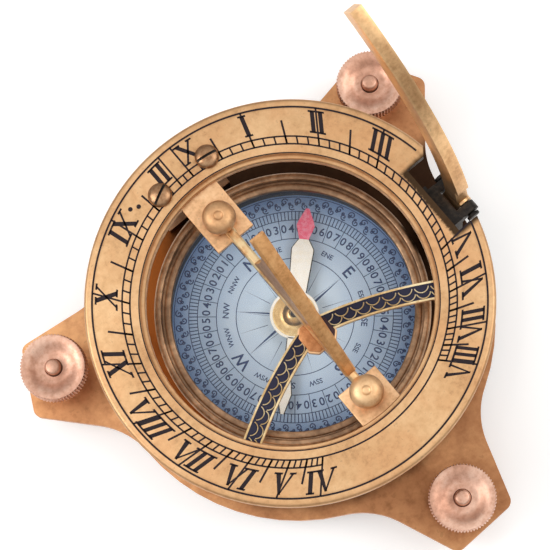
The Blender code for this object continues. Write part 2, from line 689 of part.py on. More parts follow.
def arm_outline(side):
    """Outline of one scroll arm, from the hub out to the spider's rim."""
    edges = ([], [])
    steps = 10
    for s in range(steps + 1):
        x = ARM_START_X + (ARM_REACH - ARM_START_X) * s / steps
        y = ARM_APEX_Y - ARM_SLOPE * x - ARM_CURVE * x * x
        slope = -ARM_SLOPE - 2.0 * ARM_CURVE * x
        normal = Vector((-slope, 1.0)).normalized() * (ARM_W / 2.0)
        edges[0].append((side * (x + normal.x), y + normal.y))
        edges[1].append((side * (x - normal.x), y - normal.y))
    return edges[0] + edges[1][::-1]


def hub_outline(grow=0.0):
    """The chamfered plate where the arms meet, made smaller or larger by grow."""
    half = HUB_W / 2.0 + grow
    return chamfered_outline(-half, half, HUB_Y0 - grow, HUB_Y1 + grow, HUB_CHAMFER)


def build_spider():
    """The thin plate under the ring: rim, two pivot tabs, two scroll arms and the hub."""
    rim = [(RING_LEDGE_R, SPIDER_Z0), (SPIDER_OUTER_R, SPIDER_Z0), (SPIDER_OUTER_R, SPIDER_TOP),
           (RING_LEDGE_R, SPIDER_TOP)]
    origin = (0.0, HINGE_Y, HINGE_Z)
    spider = make_object("spider_plate", turned(rim, LARGE_SEGMENTS), "antique_brass", origin)
    inside = (RING_LEDGE_R + SPIDER_OUTER_R) / 2.0
    join(spider, extruded(box_outline(-TAB_N_W / 2.0, TAB_N_W / 2.0, TAB_N_END, inside),
                          SPIDER_Z0, SPIDER_TOP))
    join(spider, extruded(box_outline(-TAB_S_W / 2.0, TAB_S_W / 2.0, -inside, TAB_S_END),
                          SPIDER_Z0, SPIDER_TOP))
    for side in (-1.0, 1.0):
        join(spider, extruded(arm_outline(side), SPIDER_Z0, SPIDER_TOP))
    join(spider, extruded(hub_outline(), SPIDER_Z0, SPIDER_TOP))
    for y in (BLOCK_N_Y, BLOCK_S_Y):
        cut(spider, cylinder(DOME_SHANK_R + GAP, SPIDER_Z0 - SPIDER_T, SPIDER_TOP + SPIDER_T, (0.0, y)))
    z0 = SPIDER_TOP + GAP
    make_object("apex_plate", extruded(hub_outline(-APEX_PLATE_INSET), z0, z0 + APEX_PLATE_T), "base_copper",
                origin)


def build_hinge():
    """Leaf under the ring, bracket on the plate, and the pin between them."""
    axis_yz = (HINGE_Y, HINGE_Z)
    half_mid = KNUCKLE_MID_W / 2.0
    inner = half_mid + GAP
    outer = inner + KNUCKLE_SIDE_W
    leaf_outline = [(-LEAF_W / 2.0, LEAF_Y0), (LEAF_W / 2.0, LEAF_Y0), (LEAF_W / 2.0, LEAF_MID_Y1),
                    (outer, LEAF_MID_Y1), (outer, HINGE_Y), (inner, HINGE_Y), (inner, LEAF_MID_Y1),
                    (-inner, LEAF_MID_Y1), (-inner, HINGE_Y), (-outer, HINGE_Y),
                    (-outer, LEAF_MID_Y1), (-LEAF_W / 2.0, LEAF_MID_Y1)]
    origin = (0.0, HINGE_Y, HINGE_Z)
    leaf = make_object("hinge_leaf", extruded(leaf_outline, SPIDER_Z0, SPIDER_TOP), "dark_brass", origin)
    for side in (-1.0, 1.0):
        x0, x1 = sorted((side * inner, side * outer))
        join(leaf, along_x(cylinder(KNUCKLE_R, x0, x1, axis_yz)))
        place = (side * RING_SCREW_X, RING_SCREW_Y)
        cut(leaf, cylinder(RING_SCREW_R + GAP, SPIDER_Z0 - SPIDER_T, SPIDER_TOP + SPIDER_T, place))
    cut(leaf, along_x(cylinder(HINGE_PIN_R + GAP, -LEAF_W, LEAF_W, axis_yz)))

    flange_z1 = CASE_Z0 + BRACKET_FLANGE_T
    flange_y1 = HINGE_Y + KNUCKLE_R + BRACKET_FLANGE_LAP
    flange = box_outline(-BRACKET_FLANGE_W / 2.0, BRACKET_FLANGE_W / 2.0, BRACKET_FLANGE_Y0, flange_y1)
    bracket = make_object("hinge_bracket", extruded(flange, CASE_Z0, flange_z1), "dark_brass")
    reach = HINGE_Z - CASE_Z0 - BRACKET_FLANGE_T / 2.0
    post = tongue_outline(axis_yz, KNUCKLE_R, (0.0, 1.0), reach)
    join(bracket, along_x(extruded(post, -half_mid, half_mid)))
    cut(bracket, along_x(cylinder(HINGE_PIN_R + GAP, -LEAF_W, LEAF_W, axis_yz)))
    for name in ("hinge_bolt_w", "hinge_bolt_e"):
        cut(bracket, cylinder(BOLT_R + GAP, 0.0, flange_z1 + GAP, bolt_positions()[name]))
        build_bolt(name, flange_z1)
    build_pin("hinge_pin", HINGE_PIN_R, outer, -outer, along_x, axis_yz, origin)


def build_pin(name, radius, end, start, lay, axis, origin):
    """A headed pin between two outer faces, laid along an axis."""
    head = radius + PIN_HEAD_EXTRA
    a0 = start - GAP - PIN_HEAD_T
    a1 = start - GAP
    b0 = end + GAP
    b1 = end + GAP + PIN_HEAD_T
    profile = [(0.0, a0), (head, a0), (head, a1), (radius, a1), (radius, b0), (head, b0),
               (head, b1), (0.0, b1)]
    make_object(name, lay(turned(profile, SMALL_SEGMENTS, axis)), "bright_brass", origin)


def build_bolt(name, seat):
    """A slotted cheese-head bolt through a bracket's flange into the plate."""
    place = bolt_positions()[name]
    tip = PAD_H + BOLT_FLOOR + GAP
    z0 = seat + GAP
    z1 = z0 + BOLT_HEAD_H
    profile = [(0.0, tip), (BOLT_R, tip), (BOLT_R, z0), (BOLT_HEAD_R, z0), (BOLT_HEAD_R, z1), (0.0, z1)]
    bolt = make_object(name, turned(profile, SMALL_SEGMENTS, place), "dark_brass", (*place, z0))
    cut(bolt, slot_tool(place, 2.4 * BOLT_HEAD_R, SLOT_W, z1 - BOLT_SLOT, z1 + TOOL_OVER))


def build_ring_screws():
    """The two slotted round-head screws on the ring."""
    for side, name in ((-1.0, "ring_screw_w"), (1.0, "ring_screw_e")):
        place = (side * RING_SCREW_X, RING_SCREW_Y)
        z0 = RING_TOP + GAP
        tip = SPIDER_Z0 - SHANK_DROP
        steps = 5
        dome = []
        for s in range(steps + 1):
            angle = math.radians(90.0) * s / steps
            dome.append((RING_SCREW_HEAD_R * math.cos(angle), z0 + RING_SCREW_HEAD_H * math.sin(angle)))
        dome[-1] = (0.0, z0 + RING_SCREW_HEAD_H)
        profile = [(0.0, tip), (RING_SCREW_R, tip), (RING_SCREW_R, z0)] + dome
        screw = make_object(name, turned(profile, ROUND_SEGMENTS, place), "bright_brass", (*place, z0))
        cut(screw, slot_tool(place, 2.4 * RING_SCREW_HEAD_R, RING_SCREW_SLOT_W,
                             z0 + RING_SCREW_HEAD_H - RING_SCREW_SLOT, z0 + 2.0 * RING_SCREW_HEAD_H))


def build_pivot_blocks():
    """The blocks that hold the gnomon's trunnions and the domed screws over them."""
    z0 = SPIDER_TOP + GAP
    z1 = z0 + BLOCK_H
    for name, y, inward in (("n", BLOCK_N_Y, -1.0), ("s", BLOCK_S_Y, 1.0)):
        outline = box_outline(-BLOCK_HALF, BLOCK_HALF, y - BLOCK_HALF, y + BLOCK_HALF)
        origin = (0.0, y, z0)
        block = make_object("pivot_block_" + name, extruded(outline, z0, z1), "antique_brass", origin)
        cut(block, cylinder(DOME_SHANK_R + GAP, z0 - GAP, z1 + GAP, (0.0, y)))
        face = y + inward * BLOCK_HALF
        deep = face - inward * (TRUNNION_L - GAP + TRUNNION_END_GAP)
        y0, y1 = sorted((face + inward * GAP, deep))
        cut(block, along_y(cylinder(TRUNNION_R + GAP, y0, y1, (GNOMON_Z, 0.0))))
        seat = z1 + GAP
        steps = 6
        dome = []
        for s in range(steps):
            angle = math.radians(75.0) * s / steps
            dome.append((DOME_R * math.cos(angle), seat + DOME_H * math.sin(angle)))
        crown = seat + DOME_H * math.sin(math.radians(75.0))
        dome += [(DOME_DIMPLE_R, crown), (DOME_DIMPLE_R * 0.6, crown - DOME_DIMPLE * 0.8),
                 (0.0, crown - DOME_DIMPLE)]
        tip = SPIDER_Z0 - SHANK_DROP
        profile = [(0.0, tip), (DOME_SHANK_R, tip), (DOME_SHANK_R, seat)] + dome
        make_object("dome_screw_" + name, turned(profile, ROUND_SEGMENTS, (0.0, y)), "bright_brass",
                    (0.0, y, seat))


def gnomon_back(steps=8):
    """The hollowed north edge of the gnomon, from the bar up to the style, as (y, z)."""
    z0 = GNOMON_Z
    z1 = GNOMON_Z + STYLE_H - STYLE_T
    points = []
    for s in range(steps + 1):
        t = s / steps
        y = GNOMON_BACK_Y + (STYLE_TOP_Y - GNOMON_BACK_Y) * t
        y -= GNOMON_BACK_BOW * math.sin(math.pi * t)
        points.append((y, z0 + (z1 - z0) * t))
    return points


def build_gnomon():
    """The shadow blade: base bar with trunnions, web, and the wider style along its slope."""
    bar_y0 = BLOCK_S_Y + BLOCK_HALF + GAP
    bar_y1 = BLOCK_N_Y - BLOCK_HALF - GAP
    half = BAR_W / 2.0
    bar_z0 = GNOMON_Z - BAR_H / 2.0
    bar_z1 = GNOMON_Z + BAR_H / 2.0
    origin = (0.0, bar_y0, GNOMON_Z)
    section = chamfered_outline(bar_z0, bar_z1, -half, half, BAR_CHAMFER)
    gnomon = make_object("gnomon", along_y(extruded(section, bar_y0, bar_y1)), "antique_brass", origin)
    web = [(STYLE_FOOT_Y, GNOMON_Z)] + gnomon_back()
    join(gnomon, along_x(extruded(web, -WEB_T / 2.0, WEB_T / 2.0)))
    foot = Vector((STYLE_FOOT_Y, bar_z1))
    top = Vector((STYLE_TOP_Y, GNOMON_Z + STYLE_H))
    slope = (top - foot).normalized()
    under = Vector((slope.y, -slope.x)) * STYLE_T
    style = bmesh.new()
    sections = []
    for point, width in ((foot, STYLE_W_FOOT), (top, STYLE_W_TOP)):
        section = []
        for x, depth in ((-0.5, 1.0), (0.5, 1.0), (0.5, 0.25), (0.34, 0.0), (-0.34, 0.0), (-0.5, 0.25)):
            at = point + under * depth
            section.append(style.verts.new((x * width, at.x, at.y)))
        sections.append(section)
    count = len(sections[0])
    for i in range(count):
        j = (i + 1) % count
        style.faces.new([sections[0][i], sections[0][j], sections[1][j], sections[1][i]])
    style.faces.new(sections[0])
    style.faces.new(sections[1])
    join(gnomon, style)
    for y0, y1 in ((bar_y0 - TRUNNION_L, bar_y0 + BAR_W), (bar_y1 - BAR_W, bar_y1 + TRUNNION_L)):
        join(gnomon, along_y(cylinder(TRUNNION_R, y0, y1, (GNOMON_Z, 0.0))))
    gnomon.data.transform(Matrix.Rotation(GNOMON_LEAN, 4, "Y"))


# ---- latitude arc ---------------------------------------------------------
def arc_point(radius, angle):
    """Point (y, z) of the arc at a radius and an angle up from the south."""
    y = ARC_CENTRE_Y - radius * math.cos(angle)
    return (y, ARC_CENTRE_Z + radius * math.sin(angle))


def build_arc():
    """The curved strip, its shank and the eye that turns on the pin."""
    steps = 14
    span = ARC_TOP_ANGLE - ARC_FOOT_ANGLE
    shank_r = ARC_OUTER_R - ARC_SHANK_STEP
    outer = [arc_point(shank_r, ARC_SHANK_ANGLE), arc_point(shank_r, ARC_FOOT_ANGLE),
             arc_point(ARC_OUTER_R - ARC_FOOT_ROUND, ARC_FOOT_ANGLE)]
    outer += [arc_point(ARC_OUTER_R, ARC_FOOT_ANGLE + ARC_FOOT_EASE + (span - ARC_FOOT_EASE) * s / steps)
              for s in range(steps + 1)]
    inner = [arc_point(ARC_INNER_R, ARC_TOP_ANGLE - span * s / steps) for s in range(steps + 1)]
    inner.append(arc_point(ARC_INNER_R, ARC_SHANK_ANGLE))
    x0 = ARC_X - ARC_T / 2.0
    strip = along_x(extruded(outer + inner, x0, x0 + ARC_T))
    middle = (ARC_EYE_Y0 + ARC_EYE_Y1) / 2.0
    origin = (ARC_X, middle, ARC_Z)
    arc = make_object("latitude_arc", strip, "antique_brass", origin)
    join(arc, along_y(cylinder(ARC_EYE_R, ARC_EYE_Y0, ARC_EYE_Y1, (ARC_Z, ARC_X))))
    cut(arc, along_y(cylinder(ARC_PIN_R + GAP, ARC_EYE_Y0 - GAP, ARC_EYE_Y1 + GAP, (ARC_Z, ARC_X))))
    arc.data.transform(Matrix.Rotation(ARC_LEAN, 4, "Y"))
    return arc


def build_arc_bracket():
    """The post with two lugs that carries the arc, its bolts and its pin."""
    lug_s0 = ARC_EYE_Y0 - GAP - LUG_W
    lug_n1 = ARC_EYE_Y1 + GAP + LUG_W
    flange_z1 = CASE_Z0 + ARC_FLANGE_T
    flange = box_outline(ARC_FLANGE_X0, ARC_FLANGE_X1, lug_s0 - ARC_FLANGE_END, lug_n1 + ARC_FLANGE_END)
    bracket = make_object("arc_bracket", extruded(flange, CASE_Z0, flange_z1), "dark_brass")
    post = box_outline(ARC_POST_X0, ARC_POST_X1, lug_s0, lug_n1)
    join(bracket, extruded(post, CASE_Z0 + ARC_FLANGE_T / 2.0, ARC_Z + ARC_EYE_R + ARC_POST_RISE))
    reach = ARC_X - (ARC_POST_X0 + ARC_POST_X1) / 2.0
    for y0 in (lug_s0 + LUG_INSET, lug_n1 - LUG_W):
        lug = tongue_outline((ARC_Z, ARC_X), ARC_EYE_R, (0.0, 1.0), reach)
        join(bracket, along_y(extruded(lug, y0, y0 + LUG_W - LUG_INSET)))
    cut(bracket, along_y(cylinder(ARC_PIN_R + GAP, lug_s0 - GAP, lug_n1 + GAP, (ARC_Z, ARC_X))))
    for name in ("arc_bolt_s", "arc_bolt_n"):
        cut(bracket, cylinder(BOLT_R + GAP, 0.0, flange_z1 + GAP, bolt_positions()[name]))
        build_bolt(name, flange_z1)
    build_pin("arc_pin", ARC_PIN_R, lug_n1, lug_s0, along_y, (ARC_Z, ARC_X), (ARC_X, lug_s0, ARC_Z))


def build_rest_post():
    """The post on the plate that the closed ring lies on."""
    z0 = CASE_Z0
    stub = PAD_H + BOLT_FLOOR + GAP
    profile = [(0.0, stub), (POST_R * 0.6, stub), (POST_R * 0.6, z0), (POST_FLANGE_R, z0),
               (POST_FLANGE_R, z0 + POST_FLANGE_T), (POST_R, z0 + POST_FLANGE_T),
               (POST_R, RING_Z0 - GAP - EDGE_BREAK), (POST_R - EDGE_BREAK, RING_Z0 - GAP),
               (0.0, RING_Z0 - GAP)]
    make_object("rest_post", turned(profile, SMALL_SEGMENTS, (0.0, POST_Y)), "dark_brass",
                (0.0, POST_Y, z0))


def build():
    """Build the whole sundial."""
    clear_scene()
    build_base_plate()
    for key in LEVEL_BEARINGS:
        build_level_screw(key)
    build_case()
    build_card_stack()
    build_pivot()
    build_needle()
    build_hour_ring()
    build_spider()
    build_hinge()
    build_ring_screws()
    build_pivot_blocks()
    build_gnomon()
    build_arc()
    build_arc_bracket()
    build_rest_post()


build()
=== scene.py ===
"""Looks of the garden sundial: brass hour ring, spider, gnomon, compass and levelling base."""
import logging
import math
from dataclasses import dataclass, field
from enum import Enum
from typing import Any, Iterable, Sequence

import bmesh
import bpy
from mathutils import Matrix, Vector


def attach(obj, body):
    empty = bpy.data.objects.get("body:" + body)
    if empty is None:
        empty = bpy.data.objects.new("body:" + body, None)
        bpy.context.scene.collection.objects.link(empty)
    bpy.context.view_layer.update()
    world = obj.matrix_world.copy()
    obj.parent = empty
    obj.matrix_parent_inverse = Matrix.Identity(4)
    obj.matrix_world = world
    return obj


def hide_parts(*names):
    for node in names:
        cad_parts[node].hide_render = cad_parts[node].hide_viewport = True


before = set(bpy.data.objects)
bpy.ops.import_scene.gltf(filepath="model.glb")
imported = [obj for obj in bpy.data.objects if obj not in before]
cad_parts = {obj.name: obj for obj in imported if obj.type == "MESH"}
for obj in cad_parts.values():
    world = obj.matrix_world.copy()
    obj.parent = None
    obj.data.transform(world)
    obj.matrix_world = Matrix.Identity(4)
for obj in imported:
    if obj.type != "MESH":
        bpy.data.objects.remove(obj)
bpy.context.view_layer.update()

LOG = logging.getLogger("garden_sundial")
Colour = tuple[float, float, float]
Point = tuple[float, float]
INK_DEPTH = 0.00012
INK_PROUD = 0.00003
CLOCKWISE = -1.0


def srgb(red: int, green: int, blue: int) -> Colour:
    """Linear colour of a display colour.

    Args:
        red, green, blue: display values from 0 to 255.

    Returns:
        The linear red, green and blue.
    """
    def one(value: int) -> float:
        """Linear value of one channel."""
        v = value / 255.0
        return v / 12.92 if v <= 0.04045 else ((v + 0.055) / 1.055) ** 2.4
    return one(red), one(green), one(blue)


def bearing(degrees: float, radius: float = 1.0) -> Vector:
    """Point at a bearing clockwise from the noon side, seen from above."""
    a = math.radians(degrees)
    return Vector((math.sin(a) * radius, math.cos(a) * radius))


# ---------------------------------------------------------------------------
# node trees
# ---------------------------------------------------------------------------
class Sock:
    """One output socket, on which sums are written as plain expressions."""

    def __init__(self, nodes: "Nodes", socket: bpy.types.NodeSocket) -> None:
        """Keep the node maker and its socket."""
        self.nodes = nodes
        self.socket = socket

    def math(self, operation: str, *values: Any, clamp: bool = False) -> "Sock":
        """Add a Math node.

        Args:
            operation: the node's operation.
            values: its inputs, in order.
            clamp: keep the result between 0 and 1.

        Returns:
            The result.
        """
        settings = {"operation": operation, "use_clamp": clamp}
        return self.nodes.out("ShaderNodeMath", settings, dict(enumerate(values)))

    def __add__(self, other: Any) -> "Sock":
        """Sum."""
        return self.math("ADD", self, other)

    __radd__ = __add__

    def __sub__(self, other: Any) -> "Sock":
        """Difference."""
        return self.math("SUBTRACT", self, other)

    def __rsub__(self, other: Any) -> "Sock":
        """Difference, the other way."""
        return self.math("SUBTRACT", other, self)

    def __mul__(self, other: Any) -> "Sock":
        """Product."""
        return self.math("MULTIPLY", self, other)

    __rmul__ = __mul__

    def __truediv__(self, other: Any) -> "Sock":
        """Quotient."""
        return self.math("DIVIDE", self, other)

    def __gt__(self, other: Any) -> "Sock":
        """1 where this is the larger."""
        return self.math("GREATER_THAN", self, other)

    def __lt__(self, other: Any) -> "Sock":
        """1 where this is the smaller."""
        return self.math("LESS_THAN", self, other)

    def __abs__(self) -> "Sock":
        """Size without its sign."""
        return self.math("ABSOLUTE", self)

    def root(self) -> "Sock":
        """Square root."""
        return self.math("SQRT", self)

    def fraction(self) -> "Sock":
        """What is left over past a whole number."""
        return self.math("FRACT", self)

    def clamp(self) -> "Sock":
        """Kept between 0 and 1."""
        return self.math("ADD", self, 0.0, clamp=True)

    def eased(self, low: float, high: float) -> "Sock":
        """0 below low, 1 above high, and smooth between them."""
        settings = {"interpolation_type": "SMOOTHSTEP"}
        return self.nodes.out("ShaderNodeMapRange", settings, {0: self, 1: low, 2: high})

    def near(self, middle: float, width: float) -> "Sock":
        """1 at middle, fading to 0 a width away on both sides."""
        return 1.0 - abs(self - middle).eased(0.0, width)


class Nodes:
    """Makes the nodes of one tree."""

    def __init__(self, tree: bpy.types.NodeTree) -> None:
        """Keep the tree."""
        self.tree = tree

    def node(self, kind: str, settings: dict[str, Any] | None = None,
             inputs: dict[Any, Any] | None = None) -> bpy.types.Node:
        """Add one node.

        Args:
            kind: the node's type.
            settings: its own properties, set before its sockets.
            inputs: what each socket holds or is linked to.

        Returns:
            The node.
        """
        made = self.tree.nodes.new(kind)
        for name, value in (settings or {}).items():
            setattr(made, name, value)
        for key, value in (inputs or {}).items():
            if isinstance(value, Sock):
                self.tree.links.new(value.socket, made.inputs[key])
            else:
                made.inputs[key].default_value = value
        return made

    def out(self, kind: str, settings: dict[str, Any] | None = None,
            inputs: dict[Any, Any] | None = None, output: Any = 0) -> Sock:
        """Add one node and return one of its outputs."""
        return Sock(self, self.node(kind, settings, inputs).outputs[output])

    def xyz(self, vector: Sock) -> tuple[Sock, Sock, Sock]:
        """The three parts of a vector."""
        parts = self.node("ShaderNodeSeparateXYZ", inputs={0: vector}).outputs
        return Sock(self, parts[0]), Sock(self, parts[1]), Sock(self, parts[2])

    def vector(self, x: Any, y: Any, z: Any) -> Sock:
        """A vector from its three parts."""
        return self.out("ShaderNodeCombineXYZ", inputs={0: x, 1: y, 2: z})


class Paint(Nodes):
    """The node tree of one material."""

    def __init__(self, name: str) -> None:
        """Start a material with one shader."""
        self.material = bpy.data.materials.new(name)
        self.material.use_nodes = True
        super().__init__(self.material.node_tree)
        self.tree.nodes.clear()
        self.shader = self.node("ShaderNodeBsdfPrincipled")
        end = self.node("ShaderNodeOutputMaterial")
        self.tree.links.new(self.shader.outputs[0], end.inputs[0])
        self.place = self.out("ShaderNodeTexCoord", output="Object")

    def moved(self, turn: float, stretch: Sequence[float]) -> Sock:
        """Object coordinates, turned about Z and stretched.

        Args:
            turn: angle in degrees.
            stretch: scale along each turned axis.

        Returns:
            The new coordinates.
        """
        turned = self.out("ShaderNodeMapping", {"vector_type": "POINT"},
                          {0: self.place, "Rotation": (0.0, 0.0, math.radians(turn))})
        return self.out("ShaderNodeVectorMath", {"operation": "MULTIPLY"},
                        {0: turned, 1: tuple(stretch)})

    def noise(self, scale: float, detail: float = 4.0, rough: float = 0.55,
              where: Sock | None = None) -> Sock:
        """A noise value.

        Args:
            scale: features per metre.
            detail: octaves.
            rough: how much the small octaves weigh.
            where: coordinates, or the object's own.

        Returns:
            The noise, from 0 to 1.
        """
        return self.out("ShaderNodeTexNoise", {}, {"Vector": where or self.place, "Scale": scale,
                                                   "Detail": detail, "Roughness": rough})

    def mix(self, factor: Any, first: Any, second: Any) -> Sock:
        """A colour between two colours.

        Args:
            factor: 0 for the first, 1 for the second.
            first, second: colours or colour sockets.

        Returns:
            The colour.
        """
        def full(colour: Any) -> Any:
            """A colour with its fourth value."""
            return colour if isinstance(colour, Sock) else (*colour, 1.0)
        inputs = {0: factor, 6: full(first), 7: full(second)}
        return self.out("ShaderNodeMix", {"data_type": "RGBA"}, inputs, 2)

    def bump(self, height: Sock, strength: float, distance: float) -> Sock:
        """A normal bent by a height."""
        return self.out("ShaderNodeBump", {}, {"Height": height, "Strength": strength,
                                               "Distance": distance})

    def feed(self, **sockets: Any) -> None:
        """Set or link the shader's sockets, with _ for a space in a name."""
        for name, value in sockets.items():
            target = self.shader.inputs[name.replace("_", " ")]
            if isinstance(value, Sock):
                self.tree.links.new(value.socket, target)
            else:
                target.default_value = value


class Grow(Nodes):
    """A Geometry Nodes tree with named sizes, run once and turned into a plain mesh."""

    def __init__(self, name: str, sizes: dict[str, float]) -> None:
        """Start a tree.

        Args:
            name: the tree's name.
            sizes: its named inputs and what each is unless it is told.
        """
        group = bpy.data.node_groups.new(name, "GeometryNodeTree")
        super().__init__(group)
        face = group.interface
        face.new_socket("Start", in_out="INPUT", socket_type="NodeSocketGeometry")
        for key, value in sizes.items():
            kind = "NodeSocketInt" if isinstance(value, int) else "NodeSocketFloat"
            face.new_socket(key, in_out="INPUT", socket_type=kind).default_value = value
        face.new_socket("Finish", in_out="INPUT", socket_type="NodeSocketMaterial")
        face.new_socket("Result", in_out="OUTPUT", socket_type="NodeSocketGeometry")
        self.source = self.node("NodeGroupInput")

    def size(self, name: str) -> Sock:
        """One of the tree's inputs."""
        return Sock(self, self.source.outputs[name])

    def close(self, geometry: Sock) -> "Grow":
        """End the tree: instances made real and the finish set."""
        real = self.out("GeometryNodeRealizeInstances", inputs={0: geometry})
        dressed = self.out("GeometryNodeSetMaterial", inputs={"Geometry": real,
                                                              "Material": self.size("Finish")})
        self.node("NodeGroupOutput", inputs={0: dressed})
        return self

    def run(self, finish: bpy.types.Material, start: bpy.types.Mesh | None = None,
            **sizes: float) -> bpy.types.Mesh:
        """Run the tree once.

        Args:
            finish: the material of what it makes.
            start: the mesh it starts from, or none.
            sizes: named inputs, with _ for a space.

        Returns:
            A plain mesh.
        """
        host = bpy.data.objects.new("growing", start or bpy.data.meshes.new("seed"))
        bpy.context.scene.collection.objects.link(host)
        modifier = host.modifiers.new("grow", "NODES")
        modifier.node_group = self.tree
        wanted = {name.replace("_", " "): value for name, value in sizes.items()}
        wanted["Finish"] = finish
        for item in self.tree.interface.items_tree:
            if item.in_out == "INPUT" and item.name in wanted:
                modifier[item.identifier] = wanted[item.name]
        bpy.context.view_layer.update()
        graph = bpy.context.evaluated_depsgraph_get()
        mesh = bpy.data.meshes.new_from_object(host.evaluated_get(graph))
        host.modifiers.remove(modifier)
        bpy.data.objects.remove(host)
        return mesh


def angle_of(x: Sock, y: Sock) -> Sock:
    """Turns round the Z axis, from 0 to 1."""
    return x.math("ARCTAN2", y, x) / (2.0 * math.pi) + 0.5


def ray_bars() -> Grow:
    """Tree of thin bars laid on rays from one origin, each between two circles about the centre."""
    tree = Grow("ray_bars", {"Count": 10, "First": 0.0, "Step": 0.1, "Inner": 0.01, "Outer": 0.02,
                             "Width": 0.0004, "Low": 0.0, "High": 0.0001, "Origin X": 0.0,
                             "Origin Y": 0.0})
    index = tree.out("GeometryNodeInputIndex")
    turn = tree.size("First") + index * tree.size("Step")
    ox, oy = tree.size("Origin X"), tree.size("Origin Y")
    dx, dy = turn.math("COSINE", turn), turn.math("SINE", turn)
    along = ox * dx + oy * dy
    rest = along * along - ox * ox - oy * oy

    def reach(radius: Sock) -> Sock:
        """Distance from the origin to a circle, along the ray."""
        return (rest + radius * radius).root() - along
    near, far = reach(tree.size("Inner")), reach(tree.size("Outer"))
    middle = (near + far) * 0.5
    low, high = tree.size("Low"), tree.size("High")
    spot = tree.vector(ox + dx * middle, oy + dy * middle, (low + high) * 0.5)
    dots = tree.out("GeometryNodePoints", inputs={"Count": tree.size("Count"), "Position": spot})
    cube = tree.out("GeometryNodeMeshCube", inputs={"Size": (1.0, 1.0, 1.0)})
    spread = tree.out("GeometryNodeInstanceOnPoints", inputs={
        "Points": dots, "Instance": cube, "Rotation": tree.vector(0.0, 0.0, turn),
        "Scale": tree.vector(far - near, tree.size("Width"), high - low)})
    return tree.close(spread)


def ridges() -> Grow:
    """Tree that presses teeth or a screw thread into the side of a turned mesh."""
    tree = Grow("ridges", {"Teeth": 60.0, "Lines": 0.0, "Depth": 0.0002, "Core": 0.001,
                           "Low": 0.0, "High": 0.01, "Centre X": 0.0, "Centre Y": 0.0})
    place = tree.out("GeometryNodeInputPosition")
    px, py, pz = tree.xyz(place)
    x, y = px - tree.size("Centre X"), py - tree.size("Centre Y")
    radius = (x * x + y * y).root()
    wave = (angle_of(x, y) * tree.size("Teeth") + pz * tree.size("Lines")).fraction()
    tooth = abs(wave - 0.5) * 2.0
    inside = (radius > tree.size("Core")) * (pz > tree.size("Low")) * (pz < tree.size("High"))
    shrink = tooth * tree.size("Depth") * inside / radius
    offset = tree.vector(x * shrink * -1.0, y * shrink * -1.0, 0.0)
    return tree.close(tree.out("GeometryNodeSetPosition", inputs={"Geometry": tree.size("Start"),
                                                                  "Offset": offset}))


def scale_row() -> Grow:
    """Tree of fish-scale arcs set along a line, opening to its left side."""
    tree = Grow("scale_row", {"Pitch": 0.0038, "Shift": 0.0, "Side": 0.0, "Scale R": 0.0012,
                              "Wire": 0.00016, "Turn": 0.0, "Level": 0.0})
    line = tree.out("GeometryNodeMeshToCurve", inputs={0: tree.size("Start")})
    trimmed = tree.out("GeometryNodeTrimCurve", {"mode": "LENGTH"},
                       {"Curve": line, 4: tree.size("Shift"), 5: 1.0})
    even = tree.out("GeometryNodeResampleCurve", {"mode": "LENGTH"},
                    {"Curve": trimmed, "Length": tree.size("Pitch")})
    tangent = tree.out("GeometryNodeInputTangent")
    tx, ty, _tz = tree.xyz(tangent)
    side = tree.size("Side")
    moved = tree.out("GeometryNodeSetPosition", inputs={
        "Geometry": even, "Offset": tree.vector(ty * side * -1.0, tx * side, tree.size("Level"))})
    arc = tree.out("GeometryNodeCurveArc", {"mode": "RADIUS"}, {
        "Resolution": 13, "Radius": tree.size("Scale R"), "Start Angle": math.radians(198.0),
        "Sweep Angle": math.radians(148.0)})
    wire = tree.out("GeometryNodeCurvePrimitiveCircle", {"mode": "RADIUS"},
                    {"Resolution": 6, "Radius": tree.size("Wire")})
    tube = tree.out("GeometryNodeCurveToMesh", inputs={"Curve": arc, "Profile Curve": wire,
                                                       "Fill Caps": True})
    aim = tx.math("ARCTAN2", ty, tx) + tree.size("Turn")
    spread = tree.out("GeometryNodeInstanceOnPoints", inputs={
        "Points": moved, "Instance": tube, "Rotation": tree.vector(0.0, 0.0, aim)})
    return tree.close(spread)


def curls() -> Grow:
    """Tree of leafy curls round a circle, every other one turned over."""
    tree = Grow("curls", {"Count": 48, "Radius": 0.028, "Wire": 0.0001, "Size": 0.0015,
                          "Level": 0.0, "Phase": 0.0, "Turn": 0.0})
    index = tree.out("GeometryNodeInputIndex")
    turn = (index + tree.size("Phase")) * (2.0 * math.pi) / tree.size("Count")
    radius = tree.size("Radius")
    spot = tree.vector(turn.math("COSINE", turn) * radius, turn.math("SINE", turn) * radius,
                       tree.size("Level"))
    dots = tree.out("GeometryNodePoints", inputs={"Count": tree.size("Count"), "Position": spot})
    spiral = tree.out("GeometryNodeCurveSpiral", inputs={
        "Resolution": 9, "Rotations": 1.25, "Start Radius": 0.12, "End Radius": 1.0, "Height": 0.0})
    grown = tree.out("GeometryNodeTransform", inputs={
        "Geometry": spiral, "Scale": tree.vector(tree.size("Size"), tree.size("Size"), 1.0)})
    wire = tree.out("GeometryNodeCurvePrimitiveCircle", {"mode": "RADIUS"},
                    {"Resolution": 4, "Radius": tree.size("Wire")})
    tube = tree.out("GeometryNodeCurveToMesh", inputs={"Curve": grown, "Profile Curve": wire,
                                                       "Fill Caps": True})
    over = (index * 0.5).fraction() > 0.2
    spread = tree.out("GeometryNodeInstanceOnPoints", inputs={
        "Points": dots, "Instance": tube,
        "Rotation": tree.vector(over * math.pi, 0.0, turn + tree.size("Turn"))})
    return tree.close(spread)


